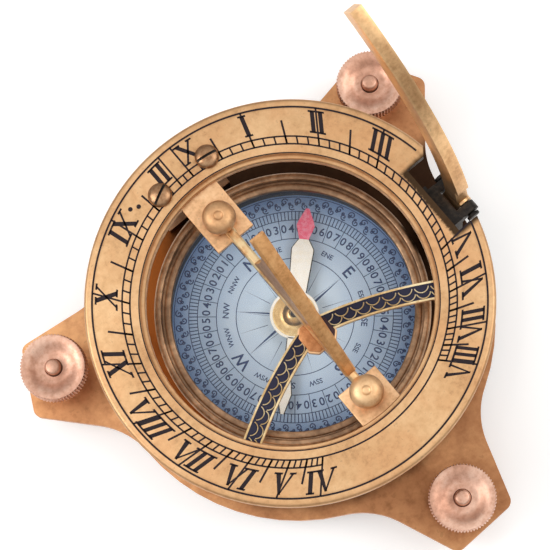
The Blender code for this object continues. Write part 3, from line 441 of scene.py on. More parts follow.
# ---------------------------------------------------------------------------
# finishes
# ---------------------------------------------------------------------------
@dataclass(frozen=True)
class Metal:
    """An aged metal: worn and tarnished patches, fine scratches and a soft grain."""

    name: str
    bright: Colour
    body: Colour
    tarnish: Colour
    smooth: float = 0.24
    rough: float = 0.46
    tarnished: float = 0.35
    mottle: float = 210.0
    scratch_turn: float = 35.0
    relief: float = 0.35
    metallic: float = 1.0
    turned: bool = False

    def shade(self, paint: Paint, colour: Sock) -> Sock:
        """Extra colouring of one kind of metal, none by default."""
        return colour

    def grain(self, paint: Paint) -> tuple[Sock, Sock]:
        """Two sets of fine scratches: rings on a turned part, or crossing strokes."""
        if self.turned:
            x, y, z = paint.xyz(paint.place)
            radius = (x * x + y * y).root()
            around = paint.vector(radius * 5200.0, z * 5200.0, x.math("ARCTAN2", y, x) * 2.2)
            wide = paint.vector(radius * 1500.0, z * 1500.0, x.math("ARCTAN2", y, x) * 1.1)
            return paint.noise(1.0, 3.0, 0.7, around), paint.noise(1.0, 3.0, 0.7, wide)
        first = paint.moved(self.scratch_turn, (260.0, 5200.0, 900.0))
        second = paint.moved(self.scratch_turn + 70, (240.0, 4300.0, 900.0))
        return paint.noise(1.0, 3.0, 0.7, first), paint.noise(1.0, 2.0, 0.7, second)

    def make(self) -> bpy.types.Material:
        """Build the material."""
        paint = Paint(self.name)
        cloud = paint.noise(self.mottle * 0.35, 5.0, 0.6)
        spots = paint.noise(self.mottle * 3.0, 6.0, 0.65)
        grit = paint.noise(self.mottle * 16.0, 3.0, 0.6)
        scratch, cross = self.grain(paint)
        worn = (cloud * 0.6 + spots * 0.4).eased(0.44, 0.66)
        dull = (cloud * 0.5 + spots * 0.5).eased(0.62 - self.tarnished * 0.3,
                                                 0.36 - self.tarnished * 0.1)
        colour = paint.mix(worn, self.body, self.bright)
        colour = paint.mix(dull * self.tarnished, colour, self.tarnish)
        colour = paint.mix(spots.eased(0.61, 0.70) * 0.30, colour, self.tarnish)
        colour = self.shade(paint, colour)
        lines = (scratch.eased(0.60, 0.70) + cross.eased(0.64, 0.72)).clamp()
        span = self.rough - self.smooth
        gloss = self.smooth + span * (0.45 * spots + 0.35 * grit + 0.35 * dull) + lines * 0.06
        height = grit * 0.25 + spots * 0.35 - lines * 0.6
        paint.feed(Base_Color=colour, Roughness=gloss, Metallic=self.metallic,
                   Normal=paint.bump(height, self.relief, 0.00006))
        return paint.material


@dataclass(frozen=True)
class RingMetal(Metal):
    """The hour ring's brass: painted shade towards its lip, its bore, its lower walls and along the
    notch, and darker along the etched lines.
    """

    lip_r: float = 0.0478
    edge_r: float = 0.0500
    bore_r: float = 0.0362
    painted_shade: Colour = srgb(30, 22, 18)

    def shade(self, paint: Paint, colour: Sock) -> Sock:
        """Paint shade on the rim, at the bore, on the walls below the top and along the notch's
        edge.
        """
        x, y, z = paint.xyz(paint.place)
        radius = (x * x + y * y).root()
        patch = paint.noise(90.0, 4.0, 0.6)
        speck = paint.noise(1500.0, 3.0, 0.7)
        # Painted shade darkens the rounded lip (rim), the bore edge and the walls and ledge below
        # the top face (below); the band at the etched circle and the specks are tarnish.
        rim = radius.eased(self.lip_r + 0.0008, self.edge_r) * (0.25 + patch * 0.4)
        line = radius.near(self.lip_r, 0.0007) * 0.25 + radius.near(self.bore_r, 0.0004) * 0.35
        below = 1.0 - z.eased(0.0388, 0.0398)
        shade = (rim * 0.75 + line + below * 0.5 + speck.eased(0.60, 0.72) * 0.22).clamp()
        warm = patch.eased(0.40, 0.66) * 0.30
        colour = paint.mix(warm, colour, srgb(222, 164, 116))
        colour = paint.mix(shade, colour, self.tarnish)
        # Painted shade: a near-black band along the notch's inner edge, standing in for the notch's
        # shadowed gap.
        inward = (x + (patch - 0.5) * 0.0012 + (speck - 0.5) * 0.0016).eased(0.0402, 0.0412)
        beside = 1.0 - abs(y + 0.0040 + (patch - 0.5) * 0.002).eased(0.0098, 0.0112)
        return paint.mix(inward * beside * 0.92, colour, self.painted_shade)


@dataclass(frozen=True)
class BaseMetal(Metal):
    """The base plate's copper: painted shade, near black, under the ring and beside the notch,
    rusty on its west side.
    """

    shade_r: float = 0.0440
    clear_r: float = 0.0500
    rust: Colour = srgb(156, 88, 38)
    painted_shade: Colour = srgb(30, 19, 15)

    def shade(self, paint: Paint, colour: Sock) -> Sock:
        """Paint shade on what the ring covers and beside the notch."""
        x, y, _z = paint.xyz(paint.place)
        radius = (x * x + y * y).root()
        patch = paint.noise(120.0, 4.0, 0.6)
        # Painted shade: near black under the ring and beside the notch (under, beside); on the west
        # side it turns to the rust colour instead.
        under = 1.0 - (radius + (patch - 0.5) * 0.004).eased(self.shade_r, self.clear_r)
        beside = x.eased(0.0300, 0.0360) * (1.0 - abs(y + 0.0030).eased(0.0150, 0.0210))
        under = (under + beside).clamp()
        west = (x * -1.0 + y * 0.5 + (patch - 0.5) * 0.010).eased(0.022, 0.036)
        # Darker in patches towards the south-east, mixed towards the tarnish colour.
        east = (x * 0.8 - y * 0.6).eased(0.020, 0.060) * (0.25 + patch * 0.4)
        colour = paint.mix(east, colour, self.tarnish)
        return paint.mix(under * 0.96, colour, paint.mix(west, self.painted_shade, self.rust))


@dataclass(frozen=True)
class BladeMetal(Metal):
    """The gnomon's brass: a painted highlight makes its base bar pale and bright, its blade brown.
    """

    bar_highlight: Colour = srgb(250, 232, 186)
    bar_top: float = 0.0419

    def shade(self, paint: Paint, colour: Sock) -> Sock:
        """Paint a patchy highlight on the bar, brightest towards its north end."""
        _x, y, z = paint.xyz(paint.place)
        patch = paint.noise(260.0, 4.0, 0.6)
        # Painted highlight: the base bar is lightened in patches, most towards the north end.
        bar = 1.0 - z.eased(self.bar_top - 0.0004, self.bar_top + 0.0004)
        highlight_patches = patch.eased(0.36, 0.60) * (0.4 + y.eased(-0.010, 0.012) * 0.5)
        return paint.mix(bar * highlight_patches, colour, self.bar_highlight)


@dataclass(frozen=True)
class CoverMetal(Metal):
    """The apex plate's copper, with a painted shadow of the gnomon darkening its east half."""

    painted_shade: Colour = srgb(34, 32, 46)

    def shade(self, paint: Paint, colour: Sock) -> Sock:
        """Paint the gnomon's shadow on the east half."""
        x, _y, _z = paint.xyz(paint.place)
        patch = paint.noise(300.0, 4.0, 0.6)
        # Painted shadow of the gnomon over the plate's east half.
        east = (x + (patch - 0.5) * 0.002).eased(0.0006, 0.0016)
        return paint.mix(east * 0.93, colour, self.painted_shade)


@dataclass(frozen=True)
class ArcMetal(Metal):
    """The latitude arc's brass, with a painted highlight along its thin edges."""

    middle_x: float = 0.0482
    half: float = 0.0013

    def shade(self, paint: Paint, colour: Sock) -> Sock:
        """Paint a highlight along the strip's long edges."""
        x, _y, z = paint.xyz(paint.place)
        lean = x - z * 0.061 + 0.0022
        # Painted highlight along both long edges.
        edge = abs(lean - self.middle_x).eased(self.half * 0.7, self.half * 1.25)
        return paint.mix(edge * 0.5, colour, self.bright)


@dataclass(frozen=True)
class Ink:
    """Dark paint left in etched lines, with brass showing where it has worn."""

    name: str
    colour: Colour
    under: Colour
    worn: float = 0.25

    def make(self) -> bpy.types.Material:
        """Build the material."""
        paint = Paint(self.name)
        cloud = paint.noise(420.0, 5.0, 0.65)
        fine = paint.noise(2600.0, 3.0, 0.6)
        gone = (cloud * 0.6 + fine * 0.4).eased(0.60, 0.74) * self.worn
        colour = paint.mix(fine * 0.35, self.colour, tuple(c * 1.6 + 0.002 for c in self.colour))
        paint.feed(Base_Color=paint.mix(gone, colour, self.under), Metallic=gone,
                   Roughness=0.72 - gone * 0.2, Specular_IOR_Level=0.18,
                   Normal=paint.bump(fine, 0.3, 0.00004))
        return paint.material


@dataclass(frozen=True)
class Enamel:
    """Brushed paint on the needle, chipped and slightly uneven."""

    name: str
    colour: Colour
    second: Colour
    rough: float = 0.45
    scale: float = 700.0

    def make(self) -> bpy.types.Material:
        """Build the material."""
        paint = Paint(self.name)
        cloud = paint.noise(self.scale, 5.0, 0.6)
        fine = paint.noise(self.scale * 6.0, 3.0, 0.6)
        colour = paint.mix(cloud.eased(0.38, 0.68), self.colour, self.second)
        paint.feed(Base_Color=colour, Roughness=self.rough + fine * 0.2,
                   Normal=paint.bump(cloud * 0.7 + fine * 0.3, 0.25, 0.00008))
        return paint.material


@dataclass(frozen=True)
class CardPaper:
    """The compass card: blue-grey printed paper, paler in its middle."""

    name: str
    pale: Colour
    deep: Colour
    edge: Colour
    radius: float = 0.031

    def make(self) -> bpy.types.Material:
        """Build the material."""
        paint = Paint(self.name)
        x, y, _z = paint.xyz(paint.place)
        radius = (x * x + y * y).root() / self.radius
        cloud = paint.noise(130.0, 4.0, 0.55)
        fibre = paint.noise(4200.0, 3.0, 0.6)
        colour = paint.mix((radius.eased(0.15, 1.0) * 0.7 + cloud * 0.45 - 0.15).clamp(),
                           self.pale, self.deep)
        colour = paint.mix(radius.eased(0.80, 0.99) * 0.75, colour, self.edge)
        colour = paint.mix(fibre * 0.12, colour, tuple(c * 0.6 for c in self.deep))
        paint.feed(Base_Color=colour, Roughness=0.55 + fibre * 0.2,
                   Normal=paint.bump(fibre, 0.15, 0.00005))
        return paint.material


@dataclass(frozen=True)
class ClearGlass:
    """Flat clear glass: see-through, with a thin bluish gloss and a little dust."""

    name: str
    veil: float = 0.02

    def make(self) -> bpy.types.Material:
        """Build the material."""
        paint = Paint(self.name)
        smear = paint.noise(60.0, 4.0, 0.6)
        dust = paint.noise(1800.0, 4.0, 0.7)
        veil = self.veil + smear * 0.03 + dust.eased(0.66, 0.74) * 0.03
        paint.feed(Base_Color=(0.80, 0.88, 0.95, 1.0), Roughness=0.05 + smear * 0.05, Alpha=veil)
        return paint.material


@dataclass
class Finishes:
    """Every finish of the sundial, built once."""

    brass: Metal = RingMetal("hour_ring_brass", srgb(230, 190, 144), srgb(212, 168, 122),
                             srgb(124, 84, 54), 0.34, 0.58, 0.42, 190.0, 25.0)
    tab: Metal = Metal("tab_brass", srgb(248, 206, 162), srgb(228, 180, 134), srgb(112, 78, 52),
                       0.34, 0.56, 0.35, 260.0, 60.0)
    border: Metal = Metal("border_brass", srgb(250, 230, 186), srgb(214, 178, 126),
                          srgb(118, 88, 54), 0.24, 0.44, 0.40, 420.0, 10.0)
    gold: Metal = Metal("polished_brass", srgb(250, 226, 170), srgb(228, 188, 126),
                        srgb(140, 96, 54), 0.20, 0.40, 0.22, 300.0, 80.0, 0.2)
    dome: Metal = Metal("dome_brass", srgb(240, 202, 156), srgb(222, 176, 130),
                        srgb(150, 98, 60), 0.44, 0.60, 0.30, 260.0, 15.0, 0.25)
    blade: Metal = BladeMetal("gnomon_brass", srgb(240, 190, 134), srgb(212, 156, 102),
                         srgb(120, 76, 44), 0.30, 0.54, 0.38, 300.0, 88.0)
    screw: Metal = Metal("screw_brass", srgb(196, 158, 122), srgb(156, 116, 84),
                         srgb(74, 50, 36), 0.26, 0.46, 0.45, 360.0, 88.0)
    arc: Metal = ArcMetal("arc_brass", srgb(238, 196, 146), srgb(200, 154, 108),
                          srgb(100, 66, 44), 0.28, 0.50, 0.45, 240.0, 82.0)
    copper: Metal = BaseMetal("base_copper", srgb(224, 168, 118), srgb(192, 136, 94),
                              srgb(112, 66, 42), 0.30, 0.54, 0.45, 130.0, 5.0)
    cover: Metal = CoverMetal("cover_copper", srgb(214, 152, 104), srgb(176, 116, 74),
                         srgb(100, 58, 36), 0.28, 0.50, 0.40, 260.0, 5.0)
    pink: Metal = Metal("pink_copper", srgb(238, 200, 178), srgb(210, 162, 138),
                        srgb(132, 90, 72), 0.34, 0.56, 0.38, 260.0, 45.0, 0.25)
    bronze: Metal = Metal("dark_bronze", srgb(196, 158, 124), srgb(140, 110, 86),
                          srgb(58, 42, 34), 0.26, 0.46, 0.40, 200.0, 0.0, 0.25, 1.0, True)
    # Box wall: partly rust, partly painted shade, kept dark for the wall under the ring.
    rust: Metal = Metal("rusty_wall_painted_shade", srgb(120, 72, 40), srgb(80, 46, 26), srgb(34, 22, 16),
                        0.38, 0.62, 0.6, 150.0, 90.0, 0.5, 0.8, True)
    black: Metal = Metal("blackened_brass", srgb(70, 60, 50), srgb(34, 30, 28), srgb(14, 13, 12),
                         0.42, 0.64, 0.5, 340.0, 30.0, 0.5, 0.7)
    ink: Ink = Ink("etching_ink", srgb(38, 30, 34), srgb(180, 134, 86), 0.35)
    navy: Ink = Ink("etched_ground", srgb(40, 40, 58), srgb(150, 118, 78), 0.45)
    print_blue: Ink = Ink("card_print", srgb(40, 62, 108), srgb(120, 148, 184), 0.30)
    white: Enamel = Enamel("needle_cream", srgb(255, 252, 242), srgb(252, 246, 230))
    red: Enamel = Enamel("needle_red", srgb(250, 92, 128), srgb(255, 150, 174), 0.5, 900.0)
    paper: CardPaper = CardPaper("card_paper", srgb(216, 234, 248), srgb(156, 190, 230),
                                 srgb(92, 132, 194))
    glass: ClearGlass = ClearGlass("clear_glass")
    made: dict[str, bpy.types.Material] = field(default_factory=dict)

    def get(self, key: str) -> bpy.types.Material:
        """The material of one finish."""
        if key not in self.made:
            self.made[key] = getattr(self, key).make()
        return self.made[key]


# ---------------------------------------------------------------------------
# meshes
# ---------------------------------------------------------------------------
class Slot(Enum):
    """The record's material slots."""

    BRASS = "antique_brass"
    COPPER = "base_copper"
    PINK = "pink_copper"
    DARK = "dark_brass"
    BRIGHT = "bright_brass"
    CARD = "printed_card"
    GLASS = "clear_glass"
    NEEDLE = "needle_paint"


def quarter(r: float, z: float, size: float, first: int = 0, step: int = 15) -> list[Point]:
    """Points of a quarter circle, for a rounded edge of a turned part.

    Args:
        r, z: its centre.
        size: its radius.
        first: where it starts, in degrees from outwards towards up.
        step: degrees from point to point.

    Returns:
        The points.
    """
    turns = [math.radians(a) for a in range(first, first + 91, step)]
    return [(r + size * math.cos(a), z + size * math.sin(a)) for a in turns]


class Shape:
    """A mesh being built from turned, extruded and copied parts."""

    def __init__(self) -> None:
        """Start empty."""
        self.bm = bmesh.new()

    def turned(self, profile: Sequence[Point], steps: int, centre: Point = (0.0, 0.0)) -> "Shape":
        """Add a body turned about a vertical line.

        Args:
            profile: (radius, height) points, outward then upward; a radius of 0 is a pole.
            steps: how many steps round.
            centre: where the line stands.

        Returns:
            The shape.
        """
        closed = profile[0][0] > 0.0 and profile[-1][0] > 0.0
        turns = [2 * math.pi * i / steps for i in range(steps)]
        rows = []
        for radius, z in profile:
            if radius == 0.0:
                rows.append([self.bm.verts.new((centre[0], centre[1], z))] * steps)
                continue
            rows.append([self.bm.verts.new((centre[0] + radius * math.cos(a),
                                            centre[1] + radius * math.sin(a), z)) for a in turns])
        pairs = list(zip(rows, rows[1:]))
        if closed:
            pairs.append((rows[-1], rows[0]))
        for lower, upper in pairs:
            for i in range(steps):
                j = (i + 1) % steps
                corners = list(dict.fromkeys((lower[i], lower[j], upper[j], upper[i])))
                if len(corners) > 2:
                    self.bm.faces.new(corners)
        return self

    def peg(self, radius: float, z0: float, z1: float, steps: int, centre: Point) -> "Shape":
        """Add an upright round peg between two heights."""
        return self.turned([(0.0, z0), (radius, z0), (radius, z1), (0.0, z1)], steps, centre)

    def prism(self, outline: Sequence[Sequence[float]], z0: float, z1: float) -> "Shape":
        """Add an upright prism on an outline."""
        low = [self.bm.verts.new((p[0], p[1], z0)) for p in outline]
        high = [self.bm.verts.new((p[0], p[1], z1)) for p in outline]
        self.bm.faces.new(low[::-1])
        self.bm.faces.new(high)
        for i in range(len(low)):
            j = (i + 1) % len(low)
            self.bm.faces.new((low[i], low[j], high[j], high[i]))
        return self

    def band(self, inner: float, outer: float, z0: float, z1: float, start: float = 0.0,
             sweep: float = 360.0, steps: int = 180) -> "Shape":
        """Add a flat ring, or a piece of one, about the dial's centre.

        Args:
            inner, outer: its radii.
            z0, z1: its heights.
            start, sweep: angles in degrees, anticlockwise from east.
            steps: how many steps it takes.

        Returns:
            The shape.
        """
        whole = sweep >= 360.0
        if whole:
            return self.turned([(inner, z0), (outer, z0), (outer, z1), (inner, z1)], steps)
        rows = []
        for i in range(steps + 1):
            a = math.radians(start + sweep * i / steps)
            rows.append([self.bm.verts.new((r * math.cos(a), r * math.sin(a), z))
                         for r, z in ((inner, z0), (outer, z0), (outer, z1), (inner, z1))])
        for here, there in zip(rows, rows[1:]):
            for k in range(4):
                m = (k + 1) % 4
                self.bm.faces.new((here[k], here[m], there[m], there[k]))
        self.bm.faces.new(rows[0][::-1])
        self.bm.faces.new(rows[-1])
        return self

    def node(self, name: str, bevel: float, segments: int = 2, sharp: float = 34.0,
             edge: int = 0) -> "Shape":
        """Add a copy of a framework node with its edges softly rounded.

        Args:
            name: the node.
            bevel: how far its edges are rounded.
            segments: how many steps the rounding takes.
            sharp: edges that bend more than this many degrees are rounded.
            edge: slot of the finish that the rounded edges get.

        Returns:
            The shape.
        """
        self.bm.from_mesh(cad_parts[name].data)
        for face in self.bm.faces:
            face.material_index = 0
        bmesh.ops.remove_doubles(self.bm, verts=self.bm.verts, dist=2e-6)
        bmesh.ops.dissolve_limit(self.bm, angle_limit=math.radians(0.8), verts=self.bm.verts,
                                 edges=self.bm.edges, use_dissolve_boundaries=False)
        if bevel > 0.0:
            edges = [e for e in self.bm.edges if len(e.link_faces) == 2
                     and e.calc_face_angle(0.0) > math.radians(sharp)]
            bmesh.ops.bevel(self.bm, geom=edges, offset=bevel, offset_type="OFFSET",
                            segments=segments, profile=0.6, affect="EDGES", clamp_overlap=True,
                            material=edge)
        return self

    def add(self, mesh: bpy.types.Mesh, place: Matrix | None = None) -> "Shape":
        """Add a mesh, moved by a matrix, and drop it."""
        if place is not None:
            mesh.transform(place)
        self.bm.from_mesh(mesh)
        bpy.data.meshes.remove(mesh)
        return self

    def put(self, place: Matrix) -> "Shape":
        """Move everything so far."""
        bmesh.ops.transform(self.bm, matrix=place, verts=self.bm.verts)
        return self

    def mesh(self, name: str, finishes: Sequence[bpy.types.Material], smooth: float = 34.0,
             mend: bool = True) -> bpy.types.Mesh:
        """Turn the shape into a mesh.

        Args:
            name: the mesh's name.
            finishes: its materials, in slot order.
            smooth: edges that bend less than this many degrees are shaded smooth.
            mend: turn every face outwards.

        Returns:
            The mesh.
        """
        if mend:
            bmesh.ops.recalc_face_normals(self.bm, faces=self.bm.faces)
        mesh = bpy.data.meshes.new(name)
        self.bm.to_mesh(mesh)
        self.bm.free()
        for finish in finishes:
            mesh.materials.append(finish)
        for polygon in mesh.polygons:
            polygon.use_smooth = True
        mesh.set_sharp_from_angle(angle=math.radians(smooth))
        return mesh


def show(name: str, mesh: bpy.types.Mesh, body: str, slot: Slot, *nodes: str) -> None:
    """Put a finished mesh into the scene.

    Args:
        name: the piece's name.
        mesh: its mesh, in place.
        body: the body it rides on.
        slot: not used.
        nodes: framework nodes that it stands for.
    """
    mesh.name = name
    piece = bpy.data.objects.new(name, mesh)
    bpy.context.scene.collection.objects.link(piece)
    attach(piece, body)
    if nodes:
        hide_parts(*nodes)
    LOG.info("%s rides on %s (%d faces)", name, body, len(mesh.polygons))


def soften(name: str, node: str, body: str, slot: Slot, bevel: float,
           finishes: Sequence[bpy.types.Material], segments: int = 2, sharp: float = 34.0) -> None:
    """Put a framework node into the scene with its edges softly rounded.

    Args:
        name: the piece's name.
        node: the node that it stands for.
        body: the body it rides on.
        slot: passed on to show, which does not use it.
        bevel: how far its edges are rounded.
        finishes: its finish, and that of its rounded edges where it is another.
        segments: how many steps the rounding takes.
        sharp: edges that bend more than this many degrees are rounded.
    """
    shape = Shape().node(node, bevel, segments, sharp, len(finishes) - 1)
    show(name, shape.mesh(node, finishes, sharp, False), body, slot, node)


def carve(mesh: bpy.types.Mesh, tools: Iterable[bpy.types.Mesh]) -> bpy.types.Mesh:
    """Cut tools out of a mesh.

    Args:
        mesh: what is cut.
        tools: closed meshes.

    Returns:
        The cut mesh.
    """
    host = bpy.data.objects.new("carving", mesh)
    bpy.context.scene.collection.objects.link(host)
    helpers = []
    for tool in tools:
        helper = bpy.data.objects.new("tool", tool)
        bpy.context.scene.collection.objects.link(helper)
        modifier = host.modifiers.new("cut", "BOOLEAN")
        modifier.operation = "DIFFERENCE"
        modifier.solver = "EXACT"
        modifier.material_mode = "TRANSFER"
        modifier.object = helper
        helpers.append(helper)
    bpy.context.view_layer.update()
    graph = bpy.context.evaluated_depsgraph_get()
    result = bpy.data.meshes.new_from_object(host.evaluated_get(graph))
    for spare in (host, *helpers):
        bpy.data.objects.remove(spare)
    return result


def words(text: str, size: float, thick: float, finish: bpy.types.Material,
          weight: float = 0.0) -> bpy.types.Mesh:
    """A mesh of a number or a compass letter, centred on the origin and facing up.

    Args:
        text: what it says.
        size: height of its type.
        thick: how far it stands out.
        finish: its material.
        weight: how much its strokes are fattened.

    Returns:
        The mesh.
    """
    curve = bpy.data.curves.new("type", "FONT")
    curve.body = text
    curve.size = size
    curve.align_x = "CENTER"
    curve.align_y = "CENTER"
    curve.extrude = thick / 2.0
    curve.offset = weight
    curve.resolution_u = 3
    host = bpy.data.objects.new("type", curve)
    bpy.context.scene.collection.objects.link(host)
    bpy.context.view_layer.update()
    graph = bpy.context.evaluated_depsgraph_get()
    mesh = bpy.data.meshes.new_from_object(host.evaluated_get(graph))
    bpy.data.objects.remove(host)
    mesh.materials.clear()
    mesh.materials.append(finish)
    return mesh


# ---------------------------------------------------------------------------
# hour ring
# ---------------------------------------------------------------------------
@dataclass
class Numeral:
    """A Roman numeral as strokes with serifs, one unit high, its foot at 0."""

    text: str
    thick: float = 0.19
    thin: float = 0.11
    serif: float = 0.085
    gap: float = 0.15
    widths: dict[str, float] = field(default_factory=lambda: {"I": 0.21, "V": 0.78, "X": 0.78})

    def strokes(self) -> list[list[Point]]:
        """Outlines of its strokes, centred across."""
        made: list[list[Point]] = []
        total = sum(self.widths[c] for c in self.text) + self.gap * (len(self.text) - 1)
        left = -total / 2.0
        for letter in self.text:
            wide = self.widths[letter]
            made += [[(left + x, y) for x, y in outline] for outline in self.letter(letter, wide)]
            left += wide + self.gap
        return made

    def bar(self, x: float, y: float, reach: float) -> list[Point]:
        """A serif about x, closing a stroke at height y."""
        half = self.serif / 2.0
        return [(x - reach, y - half), (x + reach, y - half), (x + reach, y + half),
                (x - reach, y + half)]

    def letter(self, letter: str, wide: float) -> list[list[Point]]:
        """Outlines of one letter."""
        low, high = self.serif / 2.0, 1.0 - self.serif / 2.0
        t, n = self.thick / 2.0, self.thin / 2.0
        if letter == "I":
            middle = wide / 2.0
            return [[(middle - t, low), (middle + t, low), (middle + t, high), (middle - t, high)],
                    self.bar(middle, low, t * 1.9), self.bar(middle, high, t * 1.9)]
        if letter == "V":
            foot = wide * 0.52
            return [[(foot - t * 0.3, low), (foot + t * 0.9, low), (t * 2.2, high), (0.0, high)],
                    [(foot - t * 0.3, low), (foot + t * 0.5, low), (wide, high),
                     (wide - n * 2, high)],
                    self.bar(t * 1.1, high, t * 1.9), self.bar(wide - n, high, t * 1.5)]
        return [[(wide - 2.2 * t, low), (wide, low), (2.2 * t, high), (0.0, high)],
                [(0.0, low), (2.0 * n, low), (wide, high), (wide - 2.0 * n, high)],
                self.bar(t * 1.1, high, t * 1.8), self.bar(wide - n, high, t * 1.5),
                self.bar(n, low, t * 1.5), self.bar(wide - 1.1 * t, low, t * 1.8)]


@dataclass
class HourRing:
    """The hour ring: a lipped band with an etched ladder, hour lines and Roman hours."""

    finishes: Finishes
    body: str = "ring"
    outer_r: float = 0.0500
    lip: float = 0.0009
    bore_r: float = 0.0362
    ledge_r: float = 0.0352
    ledge_drop: float = 0.0014
    top: float = 0.0416
    foot: float = 0.0386
    line_r: float = 0.04795
    ladder: Point = (0.0387, 0.0406)
    half_tick_r: float = 0.0446
    noon_gap: float = 0.0037
    origin_y: float = -0.0170
    step: float = 17.1
    line_w: float = 0.00046
    numeral_h: float = 0.0056
    numeral_foot_r: float = 0.0473
    morning: tuple[str, ...] = ("XI", "X", "IX", "VIII", "VII", "VI", "V", "IV")
    evening: tuple[str, ...] = ("I", "II", "III", "IIII", "V", "VI", "VII", "VIII")
    notch: tuple[float, float, float] = (0.0424, -0.0135, 0.0060)
    notch_cut: float = 0.0020
    aside: float = 0.42
    squeezed: dict[str, float] = field(default_factory=lambda: {"VIII": 0.78, "VII": 0.88})
    soft: float = 0.00018
    dot_r: float = 0.00058
    dots: tuple[Point, ...] = ((109.7, 0.0450), (107.6, 0.0436))
    screws: tuple[tuple[str, float, float], ...] = (("w", -0.0074, 26.0), ("e", 0.0074, -9.0))
    screw_y: float = 0.0403
    screw_r: float = 0.0030
    screw_lift: float = 0.0003
    screw_rise: float = 0.0015
    slot_half: Point = (0.004, 0.00032)
    slot_depth: float = 0.0008
    shank_r: float = 0.0011
    shank_foot: float = 0.0360

    def side_origin(self, side: float) -> Point:
        """Where the hour lines of one side (+1 east) meet."""
        return side * self.noon_gap / 2.0, self.origin_y

    def ray(self, side: float, hours: float) -> float:
        """Angle of an hour line, in radians anticlockwise from east."""
        return math.radians(90.0 - side * hours * self.step)

    def on_ray(self, side: float, hours: float, radius: float) -> Vector:
        """Where an hour line crosses a circle about the dial's centre."""
        ox, oy = self.side_origin(side)
        a = self.ray(side, hours)
        along = ox * math.cos(a) + oy * math.sin(a)
        reach = math.sqrt(along * along - ox * ox - oy * oy + radius * radius) - along
        return Vector((ox + reach * math.cos(a), oy + reach * math.sin(a)))

    def build_band(self) -> None:
        """The band itself, with its rounded lip, inner ledge and notch."""
        edge, outer, soft = self.lip, self.outer_r, self.soft
        ledge = self.top - self.ledge_drop
        lip = quarter(outer - edge, self.top - edge, edge)
        under = quarter(outer - edge, self.foot + edge, edge, -90)
        profile = [(self.ledge_r + soft, self.foot), *under, *lip,
                   (self.bore_r + soft, self.top), (self.bore_r, self.top - soft),
                   (self.bore_r, ledge), (self.ledge_r + soft, ledge),
                   (self.ledge_r, ledge - soft), (self.ledge_r, self.foot + soft)]
        band = Shape().turned(profile, 288).mesh("band", [self.finishes.get("brass")])
        x0, y0, y1 = self.notch
        rim = math.sqrt(self.outer_r ** 2 - y1 ** 2)
        far, wide = self.outer_r * 1.2, y1 + 2.0 * self.notch_cut
        outline = [(x0, y0), (far, y0), (far, wide), (rim + self.notch_cut * 0.5, wide),
                   (rim - self.notch_cut, y1), (x0, y1)]
        tool = Shape().prism(outline, self.foot - 0.002, self.top + 0.002)
        cutter = tool.mesh("notch", [self.finishes.get("brass")])
        shape = Shape().add(carve(band, [cutter]))
        mesh = shape.mesh("hour_band", [self.finishes.get("brass")], 32.0)
        show("hour_band", mesh, self.body, Slot.BRASS, "hour_ring")

    def build_lines(self) -> None:
        """Circles, ladder, hour lines and half-hour ticks."""
        ink = self.finishes.get("ink")
        low, high = self.top - INK_DEPTH, self.top + INK_PROUD
        tree = ray_bars()
        lines, ladder = Shape(), Shape()
        quarter = self.step / 6.0
        lines.band(self.line_r - self.line_w * 0.5, self.line_r + self.line_w * 0.5, low, high,
                   *self.span(self.line_r), 220)
        for side, names in ((-1.0, self.morning), (1.0, self.evening)):
            ox, oy = self.side_origin(side)
            common = {"Origin_X": ox, "Origin_Y": oy, "Low": low, "High": high}
            hours = len(names)
            cells = hours * 6
            ladder.add(tree.run(ink, Count=cells + 1, First=self.ray(side, 0.0),
                                Step=math.radians(-side * quarter), Inner=self.ladder[0],
                                Outer=self.ladder[1], Width=self.line_w * 0.9, **common))
            lines.add(tree.run(ink, Count=hours + 1, First=self.ray(side, 0.0),
                               Step=math.radians(-side * self.step), Inner=self.ladder[0],
                               Outer=self.line_r, Width=self.line_w, **common))
            lines.add(tree.run(ink, Count=hours, First=self.ray(side, 0.5),
                               Step=math.radians(-side * self.step), Inner=self.ladder[0],
                               Outer=self.half_tick_r, Width=self.line_w * 1.1, **common))
        half = self.line_w * 0.45
        ladder.band(self.ladder[0] - half, self.ladder[0] + half, low, high)
        rail = self.ladder[1]
        ends = [self.on_ray(1.0, float(len(self.evening)), rail),
                self.on_ray(-1.0, float(len(self.morning)), rail)]
        start, end = (math.degrees(math.atan2(spot.y, spot.x)) for spot in ends)
        ladder.band(rail - half, rail + half, low, high, start, (end - start) % 360.0, 240)
        noon = tree.run(ink, Count=1, First=math.pi / 2.0, Step=0.0, Inner=self.ladder[0],
                        Outer=self.ladder[1], Width=self.line_w * 0.9, Low=low, High=high)
        ladder.add(noon)
        lines.band(self.bore_r + self.soft, self.bore_r + 0.00045, low, high)
        self.clear_notch(lines)
        self.clear_notch(ladder)
        show("hour_lines", lines.mesh("hour_lines", [ink]), self.body, Slot.BRASS)
        show("minute_ladder", ladder.mesh("minute_ladder", [ink]), self.body, Slot.BRASS)

    def span(self, radius: float) -> Point:
        """Start and sweep of a circle that stops at the notch, in degrees."""
        _x0, y0, y1 = self.notch
        reach = y1 + self.notch_cut
        start = math.degrees(math.asin(reach / radius)) + 0.3
        return start, 360.0 - start - math.degrees(math.asin(-y0 / radius)) - 0.3

    def clear_notch(self, shape: Shape) -> None:
        """Drop what would hang over the notch."""
        x0, y0, y1 = self.notch
        slack = 0.0003
        doomed = [v for v in shape.bm.verts
                  if v.co.x > x0 + slack and y0 + slack < v.co.y < y1 + self.notch_cut]
        islands = set()
        for vert in doomed:
            stack = [vert]
            while stack:
                v = stack.pop()
                if v not in islands:
                    islands.add(v)
                    stack.extend(e.other_vert(v) for e in v.link_edges)
        bmesh.ops.delete(shape.bm, geom=list(islands), context="VERTS")

